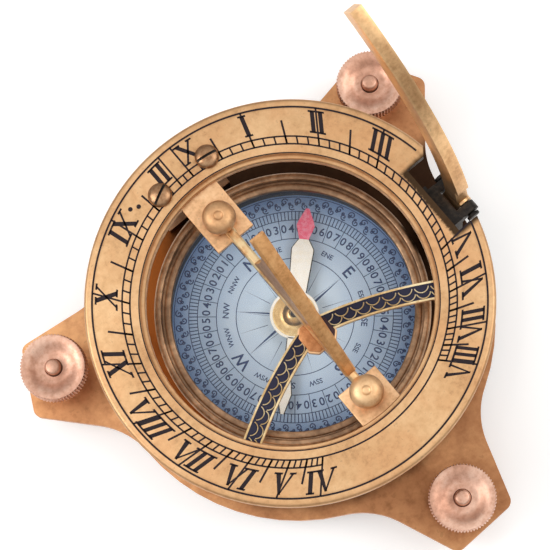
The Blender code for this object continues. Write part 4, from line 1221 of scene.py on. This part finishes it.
    def build_numerals(self) -> None:
        """Roman hours, their tops towards the centre, leaning with their hour lines."""
        ink = self.finishes.get("ink")
        shape = Shape()
        low, high = self.top - INK_DEPTH, self.top + INK_PROUD * 1.4
        places = [(side, index + 1.0, text) for side, names in ((-1.0, self.morning),
                                                                (1.0, self.evening))
                  for index, text in enumerate(names) if text != "IIII"]
        for side, hours, text in places:
            aside = self.aside if (side, text) == (1.0, "V") else 0.0
            narrow = self.squeezed.get(text, 1.0) if side > 0 else 1.0
            for outline in Numeral(text).strokes():
                shape.prism([self.lay(side, hours, x * narrow - aside, y) for x, y in outline],
                            low, high)
        for text, side, shift in (("X", 1.0, 0.50), ("II", -1.0, -0.43)):
            for outline in Numeral(text).strokes():
                shape.prism([self.lay(side, 0.0, x - shift, y) for x, y in outline], low, high)
        self.clear_notch(shape)
        show("hour_numerals", shape.mesh("hour_numerals", [ink]), self.body, Slot.BRASS)

    def lay(self, side: float, hours: float, x: float, y: float) -> Vector:
        """Place of a numeral's point.

        Args:
            side: +1 for the afternoon side.
            hours: which hour line it stands on.
            x: across the numeral, in heights.
            y: up the numeral, in heights, its top towards the centre.

        Returns:
            The place on the ring.
        """
        radius = self.numeral_foot_r - y * self.numeral_h
        spot = self.on_ray(side, hours, radius)
        turn = math.atan2(spot.y, spot.x) + x * self.numeral_h / radius
        return Vector((radius * math.cos(turn), radius * math.sin(turn)))

    def build_marks(self) -> None:
        """Two small punched dots beside the eleventh hour."""
        shape, ink = Shape(), self.finishes.get("ink")
        for turn, radius in self.dots:
            a = math.radians(turn)
            centre = (radius * math.cos(a), radius * math.sin(a))
            shape.peg(self.dot_r, self.top - INK_DEPTH, self.top + INK_PROUD, 14, centre)
        show("punch_dots", shape.mesh("punch_dots", [ink]), self.body, Slot.BRASS)

    def build_screws(self) -> None:
        """The two slotted round-head screws on the noon side."""
        mats = [self.finishes.get("screw"), self.finishes.get("black")]
        foot, rise, y = self.top + self.screw_lift, self.screw_rise, self.screw_y
        long, wide = self.slot_half
        slot = [(-long, -wide), (long, -wide), (long, wide), (-long, wide)]
        for name, x, turn in self.screws:
            dome = [(self.screw_r * math.cos(math.radians(a)),
                     foot + 0.0001 + (rise - 0.0001) * math.sin(math.radians(a)))
                    for a in range(0, 90, 9)]
            profile = [(0.0, foot), (self.screw_r - 0.0002, foot), *dome, (0.0, foot + rise)]
            head = Shape().turned(profile, 48, (x, y)).mesh("head", mats[:1])
            tool = Shape().prism(slot, foot + rise - self.slot_depth, foot + rise * 2)
            place = Matrix.Translation((x, y, 0.0)) @ Matrix.Rotation(math.radians(turn), 4, "Z")
            shape = Shape().add(carve(head, [tool.put(place).mesh("slot", mats[1:])]))
            shape.peg(self.shank_r, self.shank_foot, foot - 0.0001, 24, (x, y))
            show("ring_screw_head_" + name, shape.mesh("screw", mats), self.body, Slot.BRIGHT,
                 "ring_screw_" + name)

    def build(self) -> None:
        """Build the ring and all that lies on it."""
        self.build_band()
        self.build_lines()
        self.build_numerals()
        self.build_marks()
        self.build_screws()


# ---------------------------------------------------------------------------
# spider, blocks and domes
# ---------------------------------------------------------------------------
@dataclass
class Spider:
    """The thin plate under the ring: tabs, etched scroll arms, pivot blocks and domes."""

    finishes: Finishes
    body: str = "ring"
    top: float = 0.0383
    apex_y: float = -0.0084
    slope: float = 0.25
    curve: float = 5.75
    width: float = 0.0046
    border: float = 0.00050
    near_x: float = 0.0030
    far_x: float = 0.0296
    pitch: float = 0.0037
    scale_r: float = 0.00180
    wire: float = 0.00016
    block_y: Point = (0.0265, -0.0292)
    plate_h: float = 0.0003
    block_h: float = 0.0034
    dome_r: float = 0.0042
    dome_h: float = 0.0035
    squat: float = 0.74
    shank_r: float = 0.0009
    shank_foot: float = 0.0360

    def along(self, x: float) -> tuple[Vector, Vector]:
        """Point of the east arm's centre line at x, and the unit vector across it."""
        slope = -self.slope - 2.0 * self.curve * x
        across = Vector((-slope, 1.0)).normalized()
        return Vector((x, self.apex_y - self.slope * x - self.curve * x * x)), across

    def strip(self, side: float, low: float, high: float, near: float,
              far: float) -> list[Vector]:
        """Outline of a strip of the arm between two distances across it."""
        left, right = [], []
        for i in range(25):
            point, across = self.along(near + (far - near) * i / 24)
            left.append(point + across * high)
            right.append(point + across * low)
        outline = [Vector((side * p.x, p.y)) for p in left + right[::-1]]
        return outline[::-1] if side > 0 else outline

    def build_plate(self) -> None:
        """The plate, dressed as brass, and the copper-coloured plate over its hub."""
        soften("spider_body", "spider_plate", self.body, Slot.BRASS, 0.00016,
               [self.finishes.get("tab")])
        soften("hub_cover", "apex_plate", self.body, Slot.COPPER, 0.00008,
               [self.finishes.get("cover")])

    def build_etching(self) -> None:
        """Dark ground, brass borders and fish scales on both arms."""
        ground, rails, scales = Shape(), Shape(), Shape()
        half = self.width / 2.0
        inner = half - self.border
        rows = scale_row()
        for side in (-1.0, 1.0):
            ground.prism(self.strip(side, -inner, inner, self.near_x, self.far_x),
                         self.top - INK_DEPTH, self.top + 0.00004)
            for low, high in ((-half, -inner), (inner, half)):
                rails.prism(self.strip(side, low, high, self.near_x, self.far_x + 0.0006),
                            self.top - INK_DEPTH, self.top + 0.00016)
            path = bpy.data.meshes.new("arm_line")
            count = 60
            points = []
            for i in range(count + 1):
                point, _across = self.along(self.near_x + (self.far_x - self.near_x) * i / count)
                points.append((side * point.x, point.y, self.top + 0.00010))
            path.from_pydata(points, [(i, i + 1) for i in range(count)], [])
            for row, shift in ((0.00165, 0.30), (0.00020, 0.80)):
                scales.add(rows.run(self.finishes.get("border"), path.copy(), Pitch=self.pitch,
                                    Shift=self.pitch * shift, Side=row * side,
                                    Scale_R=self.scale_r, Wire=self.wire,
                                    Turn=0.0 if side > 0 else math.pi))
        navy, border = self.finishes.get("navy"), self.finishes.get("border")
        show("arm_ground", ground.mesh("ground", [navy]), self.body, Slot.BRASS)
        show("arm_borders", rails.mesh("rails", [border], 25.0), self.body, Slot.BRASS)
        show("arm_scales", scales.mesh("scales", [border], 60.0), self.body, Slot.BRASS)

    def build_blocks(self) -> None:
        """The pivot blocks and the domed screws over them."""
        foot, squat = self.top + self.plate_h + self.block_h + self.plate_h, self.squat
        turns = [math.radians(a) for a in range(3, 76, 4)]
        crown = foot + self.dome_h * math.sin(turns[-1]) ** squat
        profile = [(0.0, foot), (self.dome_r - 0.0002, foot)]
        profile += [(self.dome_r * math.cos(a) ** squat,
                     foot + self.dome_h * math.sin(a) ** squat) for a in turns]
        profile += [(0.00125, crown - 0.00002), (0.00112, crown - 0.00012),
                    (0.00095, crown - 0.00034), (0.0005, crown - 0.00042),
                    (0.0, crown - 0.00043)]
        for name, y in zip("ns", self.block_y):
            soften("trunnion_block_" + name, "pivot_block_" + name, self.body, Slot.BRASS, 0.00018,
                   [self.finishes.get("tab")])
            shape = Shape().turned(profile, 64, (0.0, y))
            shape.peg(self.shank_r, self.shank_foot, foot - 0.0001, 24, (0.0, y))
            show("dome_" + name, shape.mesh("dome", [self.finishes.get("dome")], 50.0), self.body,
                 Slot.BRIGHT, "dome_screw_" + name)

    def build(self) -> None:
        """Build everything below and between the ring's parts."""
        self.build_plate()
        self.build_etching()
        self.build_blocks()


# ---------------------------------------------------------------------------
# gnomon and latitude arc
# ---------------------------------------------------------------------------
@dataclass
class Blades:
    """The folding gnomon and the curved latitude arc, their bevelled edges in paler polished brass
    as a painted highlight.
    """

    finishes: Finishes

    def build(self) -> None:
        """Build both."""
        gold = self.finishes.get("gold")
        # The bevelled edges take the paler polished brass: a painted highlight.
        soften("shadow_blade", "gnomon", "gnomon", Slot.BRASS, 0.00024,
               [self.finishes.get("blade"), gold], sharp=30.0)
        soften("latitude_strip", "latitude_arc", "arc", Slot.BRASS, 0.00026,
               [self.finishes.get("arc"), gold], sharp=30.0)


# ---------------------------------------------------------------------------
# compass
# ---------------------------------------------------------------------------
@dataclass
class CompassBox:
    """The round box, its stepped bezel and the flat glass."""

    finishes: Finishes
    body: str = "base"
    foot: float = 0.0039
    top: float = 0.0240
    radius: float = 0.0340
    bore: float = 0.0322
    floor: float = 0.0075
    glass_z: float = 0.0224
    card_r: float = 0.0319
    bezel_r: float = 0.0343
    bezel_bore: float = 0.0302
    bezel_z: float = 0.0243
    bezel_h: float = 0.0038
    lip_h: float = 0.0017
    rim_r: float = 0.0324
    outer_round: float = 0.0008
    inner_round: float = 0.0005
    spacer_bore: float = 0.0310
    spacer_z: Point = (0.0149, 0.0221)
    soft: float = 0.0003
    steps: int = 192

    def build_case(self) -> None:
        """The round box, open at its top."""
        r, b, soft = self.radius, self.bore, self.soft
        case = Shape().turned([(0.0, self.foot), (r - soft, self.foot), (r, self.foot + soft),
                               (r, self.top - soft), (r - soft, self.top), (b + soft / 2, self.top),
                               (b, self.top - soft / 2), (b, self.floor), (0.0, self.floor)],
                              self.steps)
        # The wall's dark rust is partly painted shade under the ring.
        show("case_wall", case.mesh("case", [self.finishes.get("rust")]), self.body, Slot.DARK,
             "compass_case")

    def build_bezel(self) -> None:
        """The bezel: a high outer rim and a lower step inside it."""
        z0, top, lip = self.bezel_z, self.bezel_z + self.bezel_h, self.bezel_z + self.lip_h
        outer, rim, bore = self.bezel_r, self.rim_r, self.bezel_bore
        large, small = self.outer_round, self.inner_round
        step = [(rim, lip - 0.0005), (rim - 0.0004, lip - 0.0005), (rim - 0.0005, lip - 0.0001),
                (rim - 0.0007, lip), (bore + 0.0005, lip - 0.0001), (bore + 0.0002, lip - 0.0002),
                (bore, lip - 0.0005)]
        profile = [(bore, z0), (outer - 0.0002, z0), (outer, z0 + 0.0002),
                   *quarter(outer - large, top - large, large),
                   *quarter(rim + small, top - small, small, 90, 18), *step]
        bezel = Shape().turned(profile, self.steps)
        show("bezel_steps", bezel.mesh("bezel", [self.finishes.get("bronze")]), self.body,
             Slot.DARK, "bezel_ring")

    def build_glass(self) -> None:
        """The flat glass and the spacer that holds it over the card."""
        low, high, r = self.glass_z, self.top, self.card_r
        glass = Shape().turned([(0.0, low), (r - 0.0001, low), (r, low + 0.0001),
                                (r, high - 0.0002), (r - 0.0002, high), (0.0, high)], 128)
        show("clear_pane", glass.mesh("pane", [self.finishes.get("glass")]), self.body, Slot.GLASS,
             "glass")
        spacer = Shape().band(self.spacer_bore, r, *self.spacer_z, steps=128)
        show("spacer_wall", spacer.mesh("spacer", [self.finishes.get("black")]), self.body,
             Slot.DARK, "glass_spacer")

    def build(self) -> None:
        """Build the box, bezel and glass."""
        self.build_case()
        self.build_bezel()
        self.build_glass()


@dataclass
class CompassCard:
    """The printed card: scroll border, degree ring, degree numbers, points and rays."""

    finishes: Finishes
    body: str = "base"
    foot: float = 0.0138
    top: float = 0.0146
    radius: float = 0.0319
    hole: float = 0.0012
    rise: float = 0.00003
    border: Point = (0.0271, 0.0306)
    degree: Point = (0.0247, 0.0269)
    number_r: float = 0.0224
    number_in: float = 0.0199
    point_r: float = 0.0174
    ray_r: float = 0.0149
    line: float = 0.00020
    tick: float = 0.00024
    spoke: float = 0.00018
    digit_h: float = 0.0029
    digit_weight: float = 0.00005
    digit_turn: float = 2.5
    names: tuple[str, ...] = ("N", "NNE", "NE", "ENE", "E", "ESE", "SE", "SSE",
                              "S", "SSW", "SW", "WSW", "W", "WNW", "NW", "NNW")
    kinds: dict[int, tuple[float, float, float, float]] = field(default_factory=lambda: {
        1: (0.0044, 0.00006, 0.00062, 0.0062), 2: (0.0022, 0.00004, 0.00042, 0.0070),
        3: (0.0018, 0.00003, 0.00008, 0.0072)})
    ray_foot: float = 0.0030
    ray_wall: float = 0.00009

    def build(self) -> None:
        """Build the card and its print."""
        card = Shape().turned([(self.hole, self.foot), (self.radius, self.foot),
                               (self.radius, self.top - 0.00008), (self.radius - 0.00008, self.top),
                               (self.hole, self.top)], 128)
        show("card_sheet", card.mesh("card", [self.finishes.get("paper")]), self.body, Slot.CARD,
             "dial_card")
        self.build_scale()
        self.build_numbers()
        self.build_rose()
        self.build_border()

    def levels(self) -> tuple[float, float]:
        """Heights between which the print lies."""
        return self.top - 0.00004, self.top + self.rise

    def build_scale(self) -> None:
        """Circles and degree ticks."""
        shape, (low, high) = Shape(), self.levels()
        blue = self.finishes.get("print_blue")
        for r in (self.degree[0], self.degree[1], self.number_in, self.ray_r, self.border[1]):
            shape.band(r - self.line / 2, r + self.line / 2, low, high)
        tree = ray_bars()
        for count, inner, outer, width in ((180, *self.degree, self.tick),
                                           (36, self.number_in, self.degree[0], self.spoke)):
            shape.add(tree.run(blue, Count=count, First=0.0, Step=math.radians(360.0 / count),
                               Inner=inner, Outer=outer, Width=width, Low=low, High=high))
        show("degree_ring", shape.mesh("degrees", [blue], mend=False), self.body, Slot.CARD)

    def set_type(self, shape: Shape, text: str, size: float, degrees: float, radius: float,
                 weight: float) -> None:
        """Add one word at a bearing, its top outwards."""
        low, high = self.levels()
        mesh = words(text, size, high - low, self.finishes.get("print_blue"), weight)
        spot = bearing(degrees, radius)
        place = (Matrix.Translation((spot.x, spot.y, (low + high) / 2.0))
                 @ Matrix.Rotation(math.radians(CLOCKWISE * degrees), 4, "Z"))
        shape.add(mesh, place)

    def build_numbers(self) -> None:
        """Degrees counted from the noon and night points to ninety at east and west."""
        shape = Shape()
        for degrees in range(0, 360, 10):
            half = degrees % 180
            value = min(half, 180 - half)
            if value:
                self.set_type(shape, str(value // 10), self.digit_h, degrees - self.digit_turn,
                              self.number_r, self.digit_weight)
            self.set_type(shape, "0", self.digit_h, degrees + self.digit_turn, self.number_r,
                          self.digit_weight)
        show("degree_numbers", shape.mesh("numbers", [self.finishes.get("print_blue")], mend=False),
             self.body, Slot.CARD)

    def build_rose(self) -> None:
        """The sixteen points and the rays under them."""
        shape, blue = Shape(), self.finishes.get("print_blue")
        low, high = self.levels()
        for index, text in enumerate(self.names):
            degrees = index * 22.5
            size, weight, wide, waist = self.kinds[len(text)]
            self.set_type(shape, text, size, degrees, self.point_r, weight)
            ahead, across = bearing(degrees), bearing(degrees + 90.0)
            for side in (1.0, -1.0):
                outline = [ahead * self.ray_r, ahead * waist + across * wide * side]
                if len(text) == 3:
                    outline.append(ahead * waist)
                elif side > 0:
                    outline.append(ahead * self.ray_foot)
                else:
                    outline += [ahead * self.ray_foot, ahead * (self.ray_foot + 0.0002),
                                ahead * waist + across * (wide - self.ray_wall) * side]
                shape.prism(outline if side > 0 else outline[::-1], low, high)
        show("card_rose", shape.mesh("rose", [blue]), self.body, Slot.CARD)

    def build_border(self) -> None:
        """Two rows of leafy curls round the card's edge."""
        shape, blue = Shape(), self.finishes.get("print_blue")
        tree = curls()
        rows = ((52, 0.0294, 0.00098, 0.0, 0.4), (52, 0.0281, 0.00088, 0.5, 2.4),
                (104, 0.0288, 0.00042, 0.25, 1.2))
        for count, radius, size, phase, turn in rows:
            shape.add(tree.run(blue, Count=count, Radius=radius, Size=size, Wire=0.00016,
                               Level=self.top, Phase=phase, Turn=turn))
        show("card_border", shape.mesh("border", [blue], 60.0, False), self.body, Slot.CARD)


class Part(Enum):
    """The painted parts of the needle."""

    HEAD = "head"
    ARM = "arm"
    TAIL = "tail"


@dataclass
class Needle:
    """The flat painted needle, its brass dish and the cap on the pivot."""

    finishes: Finishes
    body: str = "compass_needle"
    bearing_deg: float = 47.0
    foot: float = 0.0174
    top: float = 0.0179
    tip: float = 0.0272
    tail: float = 0.0252
    hub: float = 0.0062
    half_body: float = 0.0027
    half_neck: float = 0.0012
    half_kite: float = 0.0023
    dark_edge: float = 0.00025
    cap_roof: float = 0.0187
    cap_h: float = 0.0030

    def outline(self, part: Part) -> list[Point]:
        """Right and left edge of one part of the needle, pointing along +Y."""
        neck, kite = self.half_neck, self.half_kite
        waist = self.tip * 0.71
        if part is Part.HEAD:
            right = [(neck * 0.35, self.tip), (neck * 0.7, self.tip - 0.0009),
                     (kite * 0.82, self.tip * 0.885), (kite, self.tip * 0.84),
                     (kite * 0.9, self.tip * 0.81), (neck, waist)]
        elif part is Part.ARM:
            right = [(neck, waist - 0.00002), (self.half_body * 0.97, self.tip * 0.625),
                     (self.half_body, self.tip * 0.605), (neck * 1.75, self.hub - 0.0005)]
        else:
            right = [(neck * 0.8, -self.hub + 0.0004), (neck * 0.7, -self.tail * 0.60),
                     (kite * 0.72, -self.tail * 0.80), (neck * 0.3, -self.tail)]
        return right + [(-x, y) for x, y in reversed(right)]

    def build(self) -> None:
        """Build the needle's parts."""
        turn = Matrix.Rotation(math.radians(CLOCKWISE * self.bearing_deg), 4, "Z")
        white, red = self.finishes.get("white"), self.finishes.get("red")
        black, gold = self.finishes.get("black"), self.finishes.get("gold")
        plate = Shape()
        plate.turned([(0.0054, self.foot), (self.hub, self.foot), (self.hub, self.top - 0.0001),
                      (self.hub - 0.0001, self.top), (0.0054, self.top)], 96)
        for part in (Part.ARM, Part.TAIL):
            plate.prism(self.outline(part), self.foot, self.top)
        show("needle_plate", plate.put(turn).mesh("plate", [white]), self.body, Slot.NEEDLE,
             "needle")
        head = Shape().prism(self.outline(Part.HEAD), self.foot, self.top).put(turn)
        show("needle_head", head.mesh("head", [red]), self.body, Slot.NEEDLE)
        under = Shape()
        for part in (Part.TAIL, Part.ARM):
            grown = [(x + math.copysign(self.dark_edge, x), y) for x, y in self.outline(part)]
            under.prism(grown, self.foot - 0.00002, self.foot + 0.0002)
        under.put(turn)
        show("needle_outline", under.mesh("under", [black]), self.body, Slot.NEEDLE)
        z = self.top
        dish = Shape().turned([(0.0024, self.foot), (0.0053, self.foot), (0.0055, z + 0.00004),
                               (0.0054, z + 0.00022), (0.0050, z + 0.00030),
                               (0.0043, z + 0.00010), (0.0035, z + 0.00006),
                               (0.0031, z + 0.00025), (0.0024, z + 0.00025)], 96)
        show("needle_dish", dish.mesh("dish", [gold]), self.body, Slot.BRIGHT)
        foot, seat, roof = self.foot - 0.0002, z + 0.0003, self.cap_roof
        crown = foot + self.cap_h
        cap = Shape().turned([(0.0, roof), (0.0010, roof - 0.0009), (0.0010, foot),
                              (0.0021, foot), (0.0021, seat), (0.0029, seat),
                              (0.0030, seat + 0.0001), (0.0030, seat + 0.0005),
                              (0.0027, seat + 0.0009), (0.0021, crown - 0.0006),
                              (0.0016, crown - 0.0002), (0.0013, crown - 0.0001),
                              (0.0011, crown - 0.0005), (0.0, crown - 0.0006)], 64)
        jewel = Shape().turned([(0.0, crown - 0.00058), (0.0010, crown - 0.00050),
                                (0.0008, crown - 0.00030), (0.0, crown - 0.00022)], 32)
        show("needle_jewel", jewel.mesh("jewel", [black]), self.body, Slot.BRIGHT)
        show("needle_crown", cap.mesh("cap", [gold]), self.body, Slot.BRIGHT, "needle_cap")


# ---------------------------------------------------------------------------
# base
# ---------------------------------------------------------------------------
@dataclass
class LevelScrew:
    """One levelling screw: a knurled, dished head round a stud, on a threaded rod."""

    finishes: Finishes
    key: str
    degrees: float
    circle_r: float = 0.0620
    head: tuple[float, float] = (0.0136, 0.0191)
    head_r: float = 0.0085
    chamfer: float = 0.00045
    dish: float = 0.0015
    stud_r: float = 0.0020
    rod_r: float = 0.0024
    tip_z: float = -0.0080
    teeth: float = 64.0
    knurl: float = 0.00048
    pitch: float = 0.0008
    thread: float = 0.00038
    stud_rise: float = 0.0012

    def build(self) -> None:
        """Build the head and the rod."""
        spot = bearing(self.degrees, self.circle_r)
        x, y = spot.x, spot.y
        z0, z1 = self.head
        r, c, bore = self.head_r, self.chamfer, self.stud_r + 0.0003
        pink = self.finishes.get("pink")
        tree = ridges()
        side = [(r, z0 + c + (z1 - z0 - 2 * c) * i / 6) for i in range(7)]
        start_r, end_r = r - c - 0.0006, 0.0032
        hollow = [(start_r + 0.0002, z1)]
        for i in range(1, 13):
            t = i / 12.0
            sink = (self.dish - 0.0001) * (1.0 - math.cos(t * math.pi)) / 2.0
            hollow.append((start_r + (end_r - start_r) * t, z1 - 0.00006 - sink))
        profile = [(bore, z0), (r - c * 1.2, z0), (r - c * 0.2, z0 + c * 0.9), *side,
                   (r - c * 0.25, z1 - c * 0.45), (r - c, z1), *hollow,
                   (0.0030, z1 - self.dish), (bore, z1 - self.dish)]
        start = Shape().turned(profile, 256, (x, y)).mesh("head", [pink])
        knurled = tree.run(pink, start, Teeth=self.teeth, Lines=0.0, Depth=self.knurl,
                           Core=r - c * 0.9, Low=z0 + c * 0.8, High=z1 - c * 0.2,
                           Centre_X=x, Centre_Y=y)
        show("level_cap_" + self.key, Shape().add(knurled).mesh("head", [pink], 28.0),
             "head_" + self.key, Slot.PINK, "level_head_" + self.key)
        rings = int((z0 - 0.0006 - self.tip_z) / self.pitch * 5)
        shaft = [(self.rod_r, self.tip_z + 0.0006 + (z0 - 0.0010 - self.tip_z) * i / rings)
                 for i in range(rings + 1)]
        stud = z1 + self.stud_rise
        rod = [(0.0, self.tip_z), (self.rod_r - 0.0006, self.tip_z), *shaft,
               (self.rod_r, z0 - 0.0003), (self.stud_r, z0 - 0.0003), (self.stud_r, stud - 0.0006),
               (self.stud_r - 0.0002, stud - 0.0002), (self.stud_r - 0.0006, stud), (0.0, stud)]
        start = Shape().turned(rod, 32, (x, y)).mesh("rod", [pink])
        cut = tree.run(pink, start, Teeth=1.0, Lines=1.0 / self.pitch, Depth=self.thread,
                       Core=self.rod_r - 0.0003, Low=self.tip_z + 0.0007, High=z0 - 0.0007,
                       Centre_X=x, Centre_Y=y)
        show("level_shank_" + self.key, Shape().add(cut).mesh("rod", [pink], 50.0),
             "rod_" + self.key, Slot.PINK, "level_rod_" + self.key)


@dataclass
class Base:
    """The eared base plate, its levelling screws and the small fixed parts under the ring."""

    finishes: Finishes
    worn: float = 0.00014
    ears: dict[str, float] = field(default_factory=lambda: {"s": 177.8, "ne": 57.8, "nw": -62.2})
    # The arc bracket, its bolts and its pin are blackened brass as painted shade, dark like the
    # shadowed notch they stand in.
    bevelled: dict[str, str] = field(default_factory=lambda: {
        "hinge_bracket": "bronze", "arc_bracket": "black", "rest_post": "bronze",
        "hinge_bolt_w": "bronze", "hinge_bolt_e": "bronze", "arc_bolt_s": "black",
        "arc_bolt_n": "black", "hinge_pin": "screw", "arc_pin": "black"})
    kept: dict[str, str] = field(default_factory=lambda: {
        "case_screw_1": "bronze", "case_screw_2": "bronze", "case_screw_3": "bronze",
        "card_seat": "bronze", "pivot_pin": "gold"})

    def build(self) -> None:
        """Build the plate and what stands on it."""
        mats = [self.finishes.get("copper"), self.finishes.get("pink")]
        soften("eared_plate", "base_plate", "base", Slot.COPPER, 0.00032, mats, 3)
        for key, degrees in self.ears.items():
            LevelScrew(self.finishes, key, degrees).build()
        for name, finish in self.bevelled.items():
            soften(name + "_worn", name, "base", Slot.DARK, self.worn, [self.finishes.get(finish)])
        soften("hinge_leaf_worn", "hinge_leaf", "ring", Slot.DARK, self.worn,
               [self.finishes.get("bronze")])
        for name, finish in self.kept.items():
            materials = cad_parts[name].data.materials
            materials.clear()
            materials.append(self.finishes.get(finish))
            LOG.info("%s keeps its framework shape", name)


# ---------------------------------------------------------------------------
# studio
# ---------------------------------------------------------------------------
@dataclass
class Studio:
    """Pale floor, soft lights and the camera."""

    target: tuple[float, float, float] = (0.00139, 0.00699, 0.0416)
    distance: float = 0.650
    azimuth: float = -18.77
    elevation: float = 80.17
    roll: float = -21.31
    focal: float = 2683.0
    frame_width: float = 550.0
    sensor: float = 36.0
    floor_z: float = -0.0080

    def build_floor(self) -> None:
        """A wide pale floor."""
        bm = bmesh.new()
        bmesh.ops.create_grid(bm, x_segments=2, y_segments=2, size=3.0)
        bmesh.ops.translate(bm, vec=(0.0, 0.0, self.floor_z), verts=bm.verts)
        mesh = bpy.data.meshes.new("floor")
        bm.to_mesh(mesh)
        bm.free()
        paint = Paint("pale_floor")
        paint.feed(Base_Color=(0.95, 0.95, 0.95, 1.0), Roughness=0.9,
                   Emission_Color=(1.0, 1.0, 1.0, 1.0), Emission_Strength=0.22)
        mesh.materials.append(paint.material)
        floor = bpy.data.objects.new("floor", mesh)
        bpy.context.scene.collection.objects.link(floor)

    def build_world(self) -> None:
        """A white sky, darker towards its rim."""
        world = bpy.data.worlds.new("studio")
        bpy.context.scene.world = world
        world.use_nodes = True
        nodes = Nodes(world.node_tree)
        world.node_tree.nodes.clear()
        way = nodes.out("ShaderNodeTexCoord", output="Generated")
        _x, _y, up = nodes.xyz(way)
        level = 0.26 + up.eased(0.05, 0.95) * 0.72
        sky = nodes.out("ShaderNodeBackground", inputs={"Color": (1.0, 0.995, 0.985, 1.0),
                                                        "Strength": level})
        nodes.node("ShaderNodeOutputWorld", inputs={0: sky})

    def light(self, name: str, spot: Sequence[float], size: float, power: float,
              colour: Colour = (1.0, 1.0, 1.0)) -> None:
        """A square soft light aimed at the dial."""
        lamp = bpy.data.lights.new(name, "AREA")
        lamp.size = size
        lamp.energy = power
        lamp.color = colour
        light = bpy.data.objects.new(name, lamp)
        light.location = spot
        aim = Vector(self.target) - Vector(spot)
        light.rotation_euler = aim.to_track_quat("-Z", "Y").to_euler()
        bpy.context.scene.collection.objects.link(light)

    def build_camera(self) -> None:
        """The camera, nearly straight above the dial."""
        az, el = math.radians(self.azimuth), math.radians(self.elevation)
        back = Vector((math.sin(az) * math.cos(el), -math.cos(az) * math.cos(el), math.sin(el)))
        right = (-back).cross(Vector((0.0, 0.0, 1.0))).normalized()
        up = right.cross(-back)
        c, s = math.cos(math.radians(self.roll)), math.sin(math.radians(self.roll))
        side, top = right * c + up * s, up * c - right * s
        place = Matrix((side, top, back)).transposed().to_4x4()
        place.translation = Vector(self.target) + back * self.distance
        lens = bpy.data.cameras.new("camera")
        lens.sensor_width = self.sensor
        lens.lens = self.focal / self.frame_width * self.sensor
        lens.clip_start = 0.01
        lens.clip_end = 20.0
        camera = bpy.data.objects.new("camera", lens)
        camera.matrix_world = place
        bpy.context.scene.collection.objects.link(camera)
        bpy.context.scene.camera = camera

    def build(self) -> None:
        """Build the studio."""
        bpy.context.scene.view_settings.view_transform = "Standard"
        self.build_floor()
        self.build_world()
        self.light("key", (-0.40, 0.24, 0.50), 0.34, 1.7)
        self.light("fill", (0.60, -0.30, 0.70), 0.60, 2.5, (1.0, 0.98, 0.95))
        self.build_camera()


def main() -> None:
    """Build the studio and every sub-assembly."""
    logging.basicConfig(level=logging.INFO, format="%(message)s")
    finishes = Finishes()
    Studio().build()
    HourRing(finishes).build()
    Spider(finishes).build()
    Blades(finishes).build()
    CompassBox(finishes).build()
    CompassCard(finishes).build()
    Needle(finishes).build()
    Base(finishes).build()


if __name__ == "__main__":
    main()
